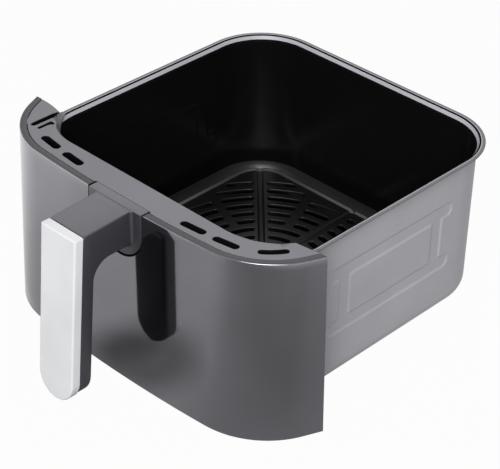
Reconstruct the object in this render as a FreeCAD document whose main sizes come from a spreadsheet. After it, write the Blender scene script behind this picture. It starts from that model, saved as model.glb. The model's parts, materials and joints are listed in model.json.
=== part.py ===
"""Drawer of an air fryer: a drawn steel pan with a lift-out crisper plate, a curved front panel,
a vented top trim and an L-shaped handle with a silver face.

Millimetres, +Z up, the handle towards -Y. The origin is the centre of the pan's underside.
"""

import FreeCAD, Part
import math
import os
from types import SimpleNamespace

Vector = FreeCAD.Vector
Placement = FreeCAD.Placement
Rotation = FreeCAD.Rotation

# Driving dimensions, in millimetres unless the name says otherwise.
SIZES = {
    # Pan: outer size of the flange, which is square in plan, and the drawn sheet below it
    "rim_width": 240.0,
    "rim_radius": 46.8,
    "flange_width": 6.5,
    "pan_height": 121.5,
    "pan_gauge": 1.0,
    "bend_radius": 2.6,
    "floor_radius": 14.0,
    # Pressed frame on both side walls: two long bars joined by two short ones
    "emboss_length": 122.0,
    "emboss_height": 52.3,
    "emboss_bar": 10.0,
    "emboss_inset": 10.0,
    "emboss_depth": 1.0,
    "emboss_mid_height": 66.0,
    "emboss_back_offset": 4.0,
    # Front panel: a curved shell that stands forward and widens a little towards its lower edge
    "panel_width": 273.4,
    "panel_flare": 3.0,
    "panel_end": 86.4,
    "panel_front": 138.4,
    "panel_crown_radius": 1080.0,
    "panel_shoulder_radius": 61.6,
    "panel_end_angle_deg": 67.2,
    "panel_gauge": 3.4,
    "panel_drop": 5.5,
    "panel_lean": 3.6,
    # Top trim: a deck above the rim, with vent slots and arms that run down to the rim
    "deck_rise": 8.7,
    "deck_gauge": 2.4,
    "trim_gap": 0.2,
    "opening_front": 109.9,
    "opening_radius": 36.7,
    "lip_gauge": 2.0,
    "lip_drop": 3.0,
    "horn_inset": 8.0,
    "horn_setback": 2.4,
    "crease_reach": 2.9,
    "crease_begin_deg": 75.0,
    "crease_end_deg": 44.0,
    "ramp_begin_deg": 76.0,
    "ramp_end_deg": 34.0,
    "ramp_edge": 1.8,
    "arm_back": 81.0,
    "arm_edge": 1.0,
    "vent_width": 6.0,
    "vent_length": 20.5,
    "vent_first": 56.8,
    "vent_first_setback": 12.3,
    "vent_second": 84.2,
    "vent_second_setback": 9.0,
    "vent_turn_deg": 5.0,
    "corner_vent_width": 5.4,
    "corner_vent_gap": 2.5,
    "corner_vent_span_deg": 23.0,
    "corner_vent_mid_deg": 41.5,
    "latch_inset": 9.0,
    "latch_slot": 5.0,
    "latch_rib": 1.5,
    "latch_short_slot": 3.5,
    "latch_wall": 4.314,
    "latch_short": 14.0,
    # Handle: a flared root, an arm and a grip that leans forward
    "handle_width": 32.6,
    "arm_drop": 1.9,
    "arm_depth": 24.0,
    "head_width": 49.0,
    "head_height": 38.0,
    "head_radius": 20.0,
    "head_back": 129.8,
    "head_gap": 0.4,
    "head_proud": 0.6,
    "root_flare": 5.0,
    "grip_front": 183.9,
    "grip_lean": 0.0755,
    "grip_length": 126.0,
    "face_depth": 6.6,
    "grip_depth": 8.7,
    "elbow_radius": 14.0,
    "face_edge": 1.2,
    # Carrier behind the panel, the bracket that joins it to the pan, and their screws
    "carrier_back": 123.8,
    "carrier_gauge": 3.0,
    "carrier_width": 168.0,
    "carrier_base": 6.0,
    "trim_boss_height": 9.8,
    "column_radius": 4.0,
    "column_height": 16.0,
    "column_spacing": 76.0,
    "bracket_width": 84.0,
    "bracket_height": 52.0,
    "bracket_base": 28.0,
    "bracket_gauge": 1.5,
    "bracket_foot": 14.0,
    "bracket_screw_across": 56.0,
    "bracket_screw_up": 28.0,
    "boss_radius": 3.6,
    "boss_across": 146.0,
    "boss_inset": 14.0,
    "handle_plate_width": 40.0,
    "handle_plate_height": 17.0,
    "handle_plate_gauge": 2.0,
    "handle_screw_across": 18.0,
    "handle_screw_rise": 6.2,
    "insert_radius": 3.0,
    "insert_length": 9.0,
    "washer_radius": 4.5,
    "washer_gauge": 1.0,
    "screw_radius": 2.0,
    "small_screw_radius": 1.5,
    "screw_head_height": 2.6,
    "nut_radius": 4.0,
    "nut_height": 3.2,
    "screw_hole_gap": 0.3,
    # Crisper plate: a square pressing with radial channels and rings of slots, on four feet
    "plate_width": 197.0,
    "plate_radius": 26.5,
    "plate_top": 15.25,
    "plate_gauge": 1.5,
    "plate_edge": 2.5,
    "plate_skirt": 10.0,
    "channel_width": 5.0,
    "channel_depth": 0.7,
    "ring_first": 34.0,
    "ring_pitch": 10.35,
    "slot_width": 4.8,
    "slot_channel_gap": 5.0,
    "slot_spoke_gap": 3.2,
    "slot_edge_gap": 6.8,
    "foot_length": 26.0,
    "foot_wall": 1.6,
    "foot_height": 7.6,
    "foot_gap": 0.1,
    "foot_bevel": 1.3,
}
RING_COUNT = 8
OPEN_RINGS = 2

doc = FreeCAD.newDocument("air_fryer_drawer")
sheet = doc.addObject("Spreadsheet::Sheet", "Sizes")
for row, (name, number) in enumerate(SIZES.items(), start=1):
    sheet.set(f"A{row}", name)
    sheet.set(f"B{row}", str(number))
    sheet.setAlias(f"B{row}", name)
doc.recompute()
size = SimpleNamespace(**{name: float(sheet.get(name)) for name in SIZES})

# Places that several pieces share.
rim_half = size.rim_width / 2
wall_half = rim_half - size.flange_width
inner_half = wall_half - size.pan_gauge
corner_mid = rim_half - size.rim_radius
deck_top = size.pan_height + size.deck_rise
deck_under = deck_top - size.deck_gauge
panel_height = deck_top + size.panel_drop
arm_top = deck_top - size.arm_drop
carrier_front = size.carrier_back + size.carrier_gauge
carrier_top = deck_under - size.trim_boss_height
carrier_height = carrier_top - size.carrier_base
handle_screw_height = arm_top - size.arm_depth + size.handle_screw_rise
plate_half = size.plate_width / 2
small = 1e-6

# The same places as expressions, for what is bound to the sheet.
DECK_TOP = "Sizes.pan_height + Sizes.deck_rise"
DECK_UNDER = "Sizes.pan_height + Sizes.deck_rise - Sizes.deck_gauge"
CARRIER_TOP = "Sizes.pan_height + Sizes.deck_rise - Sizes.deck_gauge - Sizes.trim_boss_height"
CARRIER_FRONT = "Sizes.carrier_back + Sizes.carrier_gauge"
WALL_HALF = "(Sizes.rim_width / 2 - Sizes.flange_width)"


def new_body(name):
    """An empty body whose label names its file."""
    body = doc.addObject("PartDesign::Body", name)
    body.Label = name
    return body


def new_sketch(body, name, plane, offset="0"):
    """A sketch on one of the body's origin planes, moved along its normal by an expression."""
    planes = {feature.Role: feature for feature in body.Origin.OriginFeatures}
    sketch = body.newObject("Sketcher::SketchObject", name)
    sketch.AttachmentSupport = [(planes[plane], "")]
    sketch.MapMode = "FlatFace"
    sketch.setExpression("AttachmentOffset.Base.z", offset)
    return sketch


def draw(sketch, start, *steps):
    """A closed outline: each step is (end,) for a line or (middle, end) for an arc."""
    here = start
    for step in steps:
        end = step[-1]
        if len(step) == 1:
            sketch.addGeometry(Part.LineSegment(here, end))
        else:
            sketch.addGeometry(Part.Arc(here, step[0], end))
        here = end


def around(centre, radius, angle):
    """The point at an angle, in degrees, on a circle in the sketch plane."""
    turn = math.radians(angle)
    return centre + Vector(radius * math.cos(turn), radius * math.sin(turn), 0)


def draw_rounded(sketch, half_x, half_y, radius, mid_y=0.0):
    """A rectangle with round corners, centred on the sketch's own Y axis."""
    corners = ((1, 1, 0), (-1, 1, 90), (-1, -1, 180), (1, -1, 270))
    first = None
    steps = []
    for side_x, side_y, angle in corners:
        centre = Vector(side_x * (half_x - radius), mid_y + side_y * (half_y - radius), 0)
        begin = around(centre, radius, angle)
        if first is None:
            first = begin
        else:
            steps.append((begin,))
        steps.append((around(centre, radius, angle + 45), around(centre, radius, angle + 90)))
    steps.append((first,))
    draw(sketch, first, *steps)


def pad(body, sketch, length, reverse=False, symmetric=False):
    """Material along the sketch's normal, by an expression."""
    feature = body.newObject("PartDesign::Pad", sketch.Name + "_pad")
    feature.Profile = sketch
    feature.setExpression("Length", length)
    feature.Reversed = reverse
    if symmetric:
        feature.SideType = "Symmetric"
    return feature


def pocket(body, sketch, length, reverse=False, symmetric=False):
    """A cut against the sketch's normal, by an expression. It has to remove something."""
    doc.recompute()
    before = body.Shape.Volume
    feature = body.newObject("PartDesign::Pocket", sketch.Name + "_cut")
    feature.Profile = sketch
    feature.setExpression("Length", length)
    feature.Reversed = reverse
    if symmetric:
        feature.SideType = "Symmetric"
    doc.recompute()
    if not body.Shape.Volume < before - small:
        raise RuntimeError(f"{sketch.Name} cuts nothing")
    return feature


def round_edges(body, name, radius, choose):
    """A fillet on the edges of the body's tip that the chooser accepts."""
    doc.recompute()
    tip = body.Tip
    picked = [f"Edge{n}" for n, edge in enumerate(tip.Shape.Edges, start=1) if choose(edge)]
    fillet = body.newObject("PartDesign::Fillet", name)
    fillet.Base = (tip, picked)
    fillet.setExpression("Radius", radius)
    return fillet


def flat_at(edge, height):
    """Whether an edge lies wholly in the level plane at a height."""
    box = edge.BoundBox
    return abs(box.ZMin - height) < 1e-4 and abs(box.ZMax - height) < 1e-4


def panel_outline(height, inset):
    """The panel's plan curve at a height, inset from its outer face: arcs for the crown and the
    shoulders, tangent to each other, and a straight run to each end. Returns points from left to
    right."""
    crown = size.panel_crown_radius
    shoulder = size.panel_shoulder_radius
    last = math.radians(size.panel_end_angle_deg)
    apex = apex_at(height)
    reach = size.panel_width / 2 + size.panel_flare * (deck_top - height) / panel_height
    depth = apex - size.panel_end
    level = reach * math.sin(last) - depth * math.cos(last) - shoulder + crown * math.cos(last)
    first = last - math.acos(level / (crown - shoulder))

    def on_crown(angle):
        radius = crown - inset
        return Vector(radius * math.sin(angle), -apex + crown - radius * math.cos(angle), 0)

    def on_shoulder(angle):
        radius = shoulder - inset
        centre = Vector(0, crown - apex, 0)
        centre += Vector(math.sin(first), -math.cos(first), 0) * (crown - shoulder)
        return centre + Vector(radius * math.sin(angle), -radius * math.cos(angle), 0)

    tangent = Vector(math.cos(last), math.sin(last), 0)
    joint = on_shoulder(last)

    def end_at(y):
        return joint + tangent * ((y - joint.y) / tangent.y)

    def mirror(point):
        return Vector(-point.x, point.y, 0)

    def y_at(x):
        if abs(x) <= on_crown(first).x:
            return on_crown(math.asin(abs(x) / (crown - inset))).y
        if abs(x) <= joint.x:
            ahead = (abs(x) - math.sin(first) * (crown - shoulder)) / (shoulder - inset)
            return on_shoulder(math.asin(ahead)).y
        return joint.y + (abs(x) - joint.x) * tangent.y / tangent.x

    middle = (first + last) / 2
    return SimpleNamespace(
        apex=on_crown(0), crown=on_crown(first), crown_left=mirror(on_crown(first)),
        bend=on_shoulder(middle), bend_left=mirror(on_shoulder(middle)),
        joint=joint, joint_left=mirror(joint), end=end_at, mirror=mirror, y_at=y_at)


def apex_at(height):
    """How far forward the panel's outer face stands in the middle, at a height."""
    share = (height + size.panel_drop) / panel_height
    return size.panel_front + size.panel_lean * (0.5 - share)


def make_pan():
    """One sheet profile carried round the square of the rim, closed by a flat floor, with a
    frame pressed into both side walls."""
    body = new_body("pan")
    gauge = size.pan_gauge
    top = size.pan_height
    foot = size.floor_radius
    bend = size.bend_radius
    slope = math.sin(math.radians(45))
    path = new_sketch(body, "rim_path", "XY_Plane")
    r = size.rim_radius
    side = [around(Vector(sx * corner_mid, sy * corner_mid, 0), r, a)
            for sx, sy, quarter in ((1, 1, 0), (-1, 1, 90), (-1, -1, 180), (1, -1, 270))
            for a in (quarter, quarter + 45, quarter + 90)]
    start = Vector(rim_half, 0, 0)
    steps = []
    for n in range(0, len(side), 3):
        steps.append((side[n],))
        steps.append((side[n + 1], side[n + 2]))
    steps.append((start,))
    draw(path, start, *steps)
    profile = new_sketch(body, "sheet_profile", "XZ_Plane")
    flat = wall_half - foot
    outer_mid = Vector(flat, foot, 0)
    inner_foot = foot - gauge
    lip = bend + gauge
    under = Vector(wall_half + bend, top - gauge - bend, 0)
    draw(
        profile,
        Vector(flat, 0, 0),
        (around(outer_mid, foot, -45), Vector(wall_half, foot, 0)),
        (Vector(wall_half, top - gauge - bend, 0),),
        (under + Vector(-bend * slope, bend * slope, 0), Vector(wall_half + bend, top - gauge, 0)),
        (Vector(rim_half, top - gauge, 0),),
        (Vector(rim_half, top, 0),),
        (Vector(wall_half + bend, top, 0),),
        (under + Vector(-lip * slope, lip * slope, 0), Vector(inner_half, top - lip, 0)),
        (Vector(inner_half, foot, 0),),
        (around(outer_mid, inner_foot, -45), Vector(flat, gauge, 0)),
        (Vector(flat, 0, 0),),
    )
    wall = body.newObject("PartDesign::AdditivePipe", "wall")
    wall.Profile = profile
    wall.Spine = path
    wall.Mode = "Standard"
    floor = new_sketch(body, "floor", "XY_Plane")
    draw_rounded(floor, flat, flat, size.rim_radius - rim_half + flat)
    pad(body, floor, "Sizes.pan_gauge")
    for side_name, sign in (("right", 1), ("left", -1)):
        outside = new_sketch(body, f"{side_name}_press", "YZ_Plane", f"{sign} * {WALL_HALF}")
        draw_emboss(outside, 0.0)
        pocket(body, outside, "Sizes.emboss_depth", reverse=sign < 0)
        inside = new_sketch(body, f"{side_name}_rise", "YZ_Plane", f"{sign} * ({WALL_HALF} - Sizes.pan_gauge)")
        draw_emboss(inside, size.pan_gauge)
        pad(body, inside, "Sizes.emboss_depth", reverse=sign > 0)
    return body


def draw_emboss(sketch, grow):
    """The pressed frame: two bars with round ends, and two uprights set in from those ends. Its
    outline is grown by a margin on every side."""
    mid = Vector(size.emboss_back_offset, size.emboss_mid_height, 0)
    long_half = size.emboss_length / 2 + grow
    high_half = size.emboss_height / 2 + grow
    bar = size.emboss_bar + 2 * grow
    end = bar / 2
    upright = size.emboss_length / 2 - size.emboss_inset + grow
    gap = high_half - bar
    inner = upright - bar

    def at(x, y):
        return mid + Vector(x, y, 0)

    draw(
        sketch,
        at(-long_half + end, high_half),
        (at(long_half - end, high_half),),
        (at(long_half, high_half - end), at(long_half - end, gap)),
        (at(upright, gap),),
        (at(upright, -gap),),
        (at(long_half - end, -gap),),
        (at(long_half, -high_half + end), at(long_half - end, -high_half)),
        (at(-long_half + end, -high_half),),
        (at(-long_half, -high_half + end), at(-long_half + end, -gap)),
        (at(-upright, -gap),),
        (at(-upright, gap),),
        (at(-long_half + end, gap),),
        (at(-long_half, high_half - end), at(-long_half + end, high_half)),
    )
    draw(
        sketch,
        at(-inner, -gap),
        (at(inner, -gap),),
        (at(inner, gap),),
        (at(-inner, gap),),
        (at(-inner, -gap),),
    )


def make_crisper_plate():
    """A shallow pressing: flat top, rolled edge and skirt, channels and rings of slots."""
    body = new_body("crisper_plate")
    blank = new_sketch(body, "plate_blank", "XY_Plane", "Sizes.plate_top - Sizes.plate_skirt")
    draw_rounded(blank, plate_half, plate_half, size.plate_radius)
    pad(body, blank, "Sizes.plate_skirt")
    round_edges(body, "rolled_edge", "Sizes.plate_edge", lambda edge: flat_at(edge, size.plate_top))
    doc.recompute()
    solid = body.Tip
    under = [f"Face{n}" for n, face in enumerate(solid.Shape.Faces, start=1)
             if flat_at(face, size.plate_top - size.plate_skirt)]
    shell = body.newObject("PartDesign::Thickness", "shell")
    shell.Base = (solid, under)
    shell.setExpression("Value", "Sizes.plate_gauge")
    shell.Reversed = True
    channel = new_sketch(body, "channel", "XY_Plane", "Sizes.plate_top")
    length = size.plate_width
    half = size.channel_width / 2
    draw(channel, Vector(-length, -half, 0), (Vector(length, -half, 0),), (Vector(length, half, 0),),
         (Vector(-length, half, 0),), (Vector(-length, -half, 0),))
    cut = pocket(body, channel, "Sizes.channel_depth")
    spread(body, cut, 180, 4)
    slots = new_sketch(body, "slots", "XY_Plane", "Sizes.plate_top")
    for ring in range(RING_COUNT):
        draw_ring_slots(slots, ring)
    cut = pocket(body, slots, "Sizes.plate_gauge * 2")
    spread(body, cut, 360, 4)
    return body


def spread(body, feature, angle, count):
    """Copies of a cut, turned about the plate's upright axis."""
    pattern = body.newObject("PartDesign::PolarPattern", feature.Name + "_ring")
    pattern.Originals = [feature]
    axes = {axis.Role: axis for axis in body.Origin.OriginFeatures}
    pattern.Axis = (axes["Z_Axis"], [""])
    pattern.Angle = angle if angle == 360 else angle * (count - 1) / count
    pattern.Occurrences = count
    body.Tip = pattern
    return pattern


def draw_ring_slots(sketch, ring):
    """One ring's slots in the quarter that faces +Y, mirrored about its middle channel. Angles
    count from that channel. Inner rings run unbroken to the diagonal, outer ones leave a spoke."""
    radius = size.ring_first + ring * size.ring_pitch
    channel = math.degrees(math.asin(size.slot_channel_gap / radius))
    spoke = math.degrees(math.asin(size.slot_spoke_gap / radius))
    edge = (plate_half - size.slot_edge_gap) / radius
    nearest = math.degrees(math.acos(edge)) if edge < 1 else 0.0
    if ring < OPEN_RINGS:
        spans = [(channel, 45 - channel)]
    else:
        spans = [(max(22.5 + spoke, nearest), 45 - channel)]
        if nearest == 0.0:
            spans.append((channel, 22.5 - spoke))
    for begin, end in spans:
        for sign in (1, -1):
            draw_slot(sketch, Vector(0, 0, 0), radius, size.slot_width, 90 + sign * begin, 90 + sign * end)


def draw_slot(sketch, origin, radius, width, begin, end):
    """A slot along an arc about a centre, between two tip angles, with round ends."""
    half = width / 2
    low, high = min(begin, end), max(begin, end)
    turn = math.degrees(half / radius)
    first = low + turn
    last = high - turn
    middle = (first + last) / 2
    draw(
        sketch,
        around(origin, radius + half, first),
        (around(origin, radius + half, middle), around(origin, radius + half, last)),
        (around(origin, radius, high), around(origin, radius - half, last)),
        (around(origin, radius - half, middle), around(origin, radius - half, first)),
        (around(origin, radius, low), around(origin, radius + half, first)),
    )


def make_foot(name, turn):
    """A soft clip that grips the plate's skirt in the middle of one side and stands on the floor."""
    body = new_body(name)
    sketch = new_sketch(body, name + "_section", "YZ_Plane")
    skirt_low = size.plate_top - size.plate_skirt
    floor = size.pan_gauge
    outer = plate_half + size.foot_gap
    inner = plate_half - size.plate_gauge - size.foot_gap
    top = floor + size.foot_height
    wall = size.foot_wall
    bevel = size.foot_bevel
    draw(
        sketch,
        Vector(inner - wall, floor, 0),
        (Vector(outer + wall - bevel, floor, 0),),
        (Vector(outer + wall, floor + bevel, 0),),
        (Vector(outer + wall, top, 0),),
        (Vector(outer, top, 0),),
        (Vector(outer, skirt_low, 0),),
        (Vector(inner, skirt_low, 0),),
        (Vector(inner, top, 0),),
        (Vector(inner - wall, top, 0),),
        (Vector(inner - wall, floor, 0),),
    )
    pad(body, sketch, "Sizes.foot_length", symmetric=True)
    body.Placement = Placement(Vector(0, 0, 0), Rotation(Vector(0, 0, 1), turn))
    return body


def make_front_panel():
    """The curved outer shell between a lower and an upper plan, notched for the handle's root, with
    four screw bosses behind it."""
    body = new_body("front_panel")
    foot = new_sketch(body, "panel_foot", "XY_Plane", "-Sizes.panel_drop")
    draw_panel_plan(foot, -size.panel_drop)
    brow = new_sketch(body, "panel_brow", "XY_Plane", DECK_TOP)
    draw_panel_plan(brow, deck_top)
    shell = body.newObject("PartDesign::AdditiveLoft", "panel_shell")
    shell.Profile = foot
    shell.Sections = [brow]
    shell.Ruled = True
    notch = new_sketch(body, "root_notch", "XZ_Plane", "Sizes.head_back")
    draw_head(notch, size.head_gap, size.head_gap)
    pocket(body, notch, "Sizes.panel_front", reverse=True)
    for row_name, height in boss_rows():
        bosses = new_sketch(body, f"{row_name}_bosses", "XZ_Plane", CARRIER_FRONT)
        for place in boss_places():
            if place.y == height:
                bosses.addGeometry(Part.Circle(place, Vector(0, 0, 1), size.boss_radius))
        middle = panel_outline(height, size.panel_gauge / 2)
        face = -middle.y_at(size.boss_across / 2)
        pad(body, bosses, f"{face} - Sizes.carrier_back - Sizes.carrier_gauge")
    holes = new_sketch(body, "boss_holes", "XZ_Plane", CARRIER_FRONT)
    for place in boss_places():
        holes.addGeometry(Part.Circle(place, Vector(0, 0, 1), size.small_screw_radius))
    pocket(body, holes, "Sizes.boss_radius", reverse=True)
    return body


def draw_panel_plan(sketch, height):
    """The closed plan of the shell at a height: its outer face, both ends and its inner face."""
    outer = panel_outline(height, 0.0)
    inner = panel_outline(height, size.panel_gauge)
    back = -size.panel_end
    draw(
        sketch,
        outer.mirror(outer.end(back)),
        (outer.joint_left,),
        (outer.bend_left, outer.crown_left),
        (outer.apex, outer.crown),
        (outer.bend, outer.joint),
        (outer.end(back),),
        (inner.end(back),),
        (inner.joint,),
        (inner.bend, inner.crown),
        (inner.apex, inner.crown_left),
        (inner.bend_left, inner.joint_left),
        (inner.mirror(inner.end(back)),),
        (outer.mirror(outer.end(back)),),
    )


def boss_rows():
    """Heights of the lower and the upper pair of panel bosses."""
    return ("low", size.carrier_base + size.boss_inset), ("high", carrier_top - size.boss_inset)


def boss_places():
    """Centres of the four panel bosses, in the sketch's X and Z."""
    half = size.boss_across / 2
    return [Vector(x, z, 0) for x in (-half, half) for row_name, z in boss_rows()]


def draw_head(sketch, gap, above):
    """The U-shaped outline of the handle's root, grown by a gap, and past its top by another."""
    half = size.head_width / 2 + gap
    radius = size.head_radius + gap
    low = deck_top - size.head_height - gap
    top = deck_top + above
    right = Vector(half - radius, low + radius, 0)
    left = Vector(-half + radius, low + radius, 0)
    draw(
        sketch,
        Vector(-half, top, 0),
        (Vector(-half, low + radius, 0),),
        (around(left, radius, 225), Vector(-half + radius, low, 0)),
        (Vector(half - radius, low, 0),),
        (around(right, radius, -45), Vector(half, low + radius, 0)),
        (Vector(half, top, 0),),
        (Vector(-half, top, 0),),
    )


def make_top_trim():
    """The deck between the panel and the pan's opening: vent slots, a lip that stands on the
    flange, arms that run back over the flange's corners, and two screw bosses below."""
    body = new_body("top_trim")
    edge = panel_outline(deck_top, size.panel_gauge + size.trim_gap)
    back = -size.panel_end
    mid = Vector(corner_mid, -corner_mid, 0)
    front = -size.opening_front
    horn = Vector(rim_half - size.horn_inset, back - size.horn_setback, 0)
    meet = around(mid, size.opening_radius, -45)
    crease_end = around(mid, size.opening_radius + size.crease_reach, -size.crease_end_deg)
    half_way = -(size.crease_begin_deg + size.crease_end_deg) / 2
    crease_mid = around(mid, size.opening_radius + size.crease_reach * 0.36, half_way)
    crease_begin = around(mid, size.opening_radius, -size.crease_begin_deg)
    bend_mid = around(mid, size.opening_radius, -45 - size.crease_begin_deg / 2)

    def mirror(point):
        return Vector(-point.x, point.y, 0)

    lip = new_sketch(body, "lip", "XY_Plane", "Sizes.pan_height - Sizes.lip_drop")
    outer_radius = size.opening_radius + size.lip_gauge
    draw(
        lip,
        Vector(-corner_mid, front, 0),
        (Vector(corner_mid, front, 0),),
        (around(mid, size.opening_radius, -67.5), meet),
        (around(mid, outer_radius, -45),),
        (around(mid, outer_radius, -67.5), Vector(corner_mid, -corner_mid - outer_radius, 0)),
        (Vector(-corner_mid, -corner_mid - outer_radius, 0),),
        (mirror(around(mid, outer_radius, -67.5)), mirror(around(mid, outer_radius, -45))),
        (mirror(meet),),
        (mirror(around(mid, size.opening_radius, -67.5)), Vector(-corner_mid, front, 0)),
    )
    pad(body, lip, "Sizes.deck_rise - Sizes.deck_gauge + Sizes.lip_drop")
    add_arms(body)
    deck = new_sketch(body, "deck", "XY_Plane", DECK_UNDER)
    draw(
        deck,
        mirror(edge.end(back)),
        (edge.joint_left,),
        (edge.bend_left, edge.crown_left),
        (edge.apex, edge.crown),
        (edge.bend, edge.joint),
        (edge.end(back),),
        (horn,),
        (crease_end,),
        (crease_mid, crease_begin),
        (bend_mid, Vector(corner_mid, front, 0)),
        (Vector(-corner_mid, front, 0),),
        (mirror(bend_mid), mirror(crease_begin)),
        (mirror(crease_mid), mirror(crease_end)),
        (mirror(horn),),
        (mirror(edge.end(back)),),
    )
    pad(body, deck, "Sizes.deck_gauge")
    root = new_sketch(body, "root_seat", "XY_Plane", DECK_TOP)
    half = size.head_width / 2 + size.head_gap
    seam = -size.head_back
    ahead = -size.panel_front * 2
    draw(root, Vector(-half, seam, 0), (Vector(half, seam, 0),), (Vector(half, ahead, 0),),
         (Vector(-half, ahead, 0),), (Vector(-half, seam, 0),))
    pocket(body, root, "Sizes.deck_gauge")
    add_vents(body)
    bosses = new_sketch(body, "trim_bosses", "XY_Plane", CARRIER_TOP)
    for place in column_places():
        bosses.addGeometry(Part.Circle(place, Vector(0, 0, 1), size.boss_radius))
    pad(body, bosses, "Sizes.trim_boss_height")
    holes = new_sketch(body, "trim_boss_holes", "XY_Plane", CARRIER_TOP)
    for place in column_places():
        holes.addGeometry(Part.Circle(place, Vector(0, 0, 1), size.small_screw_radius))
    pocket(body, holes, "Sizes.boss_radius * 2", reverse=True)
    return body


def add_arms(body):
    """A band over each front corner of the flange, whose top slopes from the deck to the rim and
    then follows the rim."""
    mid = Vector(corner_mid, -corner_mid, 0)
    inner = size.opening_radius
    outer = size.rim_radius + size.trim_gap
    begin = -45.0
    reach = size.arm_back - corner_mid
    end_inner = -math.degrees(math.asin(reach / inner))
    end_outer = -math.degrees(math.asin(reach / outer))
    for side_name, sign in (("right", 1), ("left", -1)):

        def place(radius, angle):
            point = around(mid, radius, angle)
            return Vector(sign * point.x, point.y, 0)

        band = new_sketch(body, f"{side_name}_arm", "XY_Plane", "Sizes.pan_height")
        draw(
            band,
            place(inner, begin),
            (place(inner, (begin + end_inner) / 2), place(inner, end_inner)),
            (place(outer, end_outer),),
            (place(outer, (begin + end_outer) / 2), place(outer, begin)),
            (place(inner, begin),),
        )
        pad(body, band, "Sizes.deck_rise")
    slope = new_sketch(body, "arm_slope", "YZ_Plane")
    front_y = around(mid, size.opening_radius, -size.ramp_begin_deg).y
    foot_y = around(mid, size.opening_radius, -size.ramp_end_deg).y
    back_y = -size.arm_back
    top = deck_top
    foot = size.pan_height + size.ramp_edge
    low = size.pan_height + size.arm_edge
    draw(slope, Vector(front_y, top, 0), (Vector(foot_y, foot, 0),), (Vector(back_y, low, 0),),
         (Vector(back_y, top, 0),), (Vector(front_y, top, 0),))
    pocket(body, slope, "Sizes.rim_width", symmetric=True)


def add_vents(body):
    """Two straight vents on each side, a corner vent on the right, and on the left the pair of
    latch slots with a thin rib between them."""
    vents = new_sketch(body, "vents", "XY_Plane", DECK_TOP)
    for sign in (1, -1):
        first = Vector(sign * size.vent_first, -size.opening_front - size.vent_first_setback, 0)
        second = Vector(sign * size.vent_second, -size.opening_front - size.vent_second_setback, 0)
        draw_vent(vents, first, size.vent_length, sign * size.vent_turn_deg)
        draw_vent(vents, second, size.vent_length, sign * size.vent_turn_deg * 2)
    corner = Vector(corner_mid, -corner_mid, 0)
    span = size.corner_vent_span_deg / 2
    draw_slot(vents, corner, size.rim_radius + size.corner_vent_gap, size.corner_vent_width,
              -size.corner_vent_mid_deg - span, -size.corner_vent_mid_deg + span)
    outer = -rim_half + size.latch_inset
    inner = outer + size.latch_slot + size.latch_rib
    far = panel_outline(deck_top, size.panel_gauge + size.trim_gap).y_at(outer) + size.latch_wall
    beyond = -size.panel_end + size.latch_slot
    for left, width, begin in ((outer, size.latch_slot, beyond),
                               (inner, size.latch_short_slot, far + size.latch_short)):
        right = left + width
        draw(vents, Vector(left, far, 0), (Vector(right, far, 0),), (Vector(right, begin, 0),),
             (Vector(left, begin, 0),), (Vector(left, far, 0),))
    pocket(body, vents, "Sizes.deck_gauge")


def draw_vent(sketch, mid, length, turn):
    """A straight slot with round ends, turned in plan."""
    half = size.vent_width / 2
    along = around(Vector(0, 0, 0), length / 2 - half, turn)
    across = around(Vector(0, 0, 0), half, turn + 90)
    tip = around(Vector(0, 0, 0), half, turn)
    draw(
        sketch,
        mid - along + across,
        (mid + along + across,),
        (mid + along + tip, mid + along - across),
        (mid - along - across,),
        (mid - along - tip, mid - along + across),
    )


def column_places():
    """Centres of the two columns that hold the trim, in plan."""
    half = size.column_spacing / 2
    back = size.carrier_back + size.carrier_gauge / 2
    return [Vector(-half, -back, 0), Vector(half, -back, 0)]


def grip_point(depth, drop):
    """A point of the grip's side view: depth behind the silver front, drop below the arm's top."""
    return Vector(-size.grip_front + depth - size.grip_lean * drop, arm_top - drop, 0)


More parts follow.
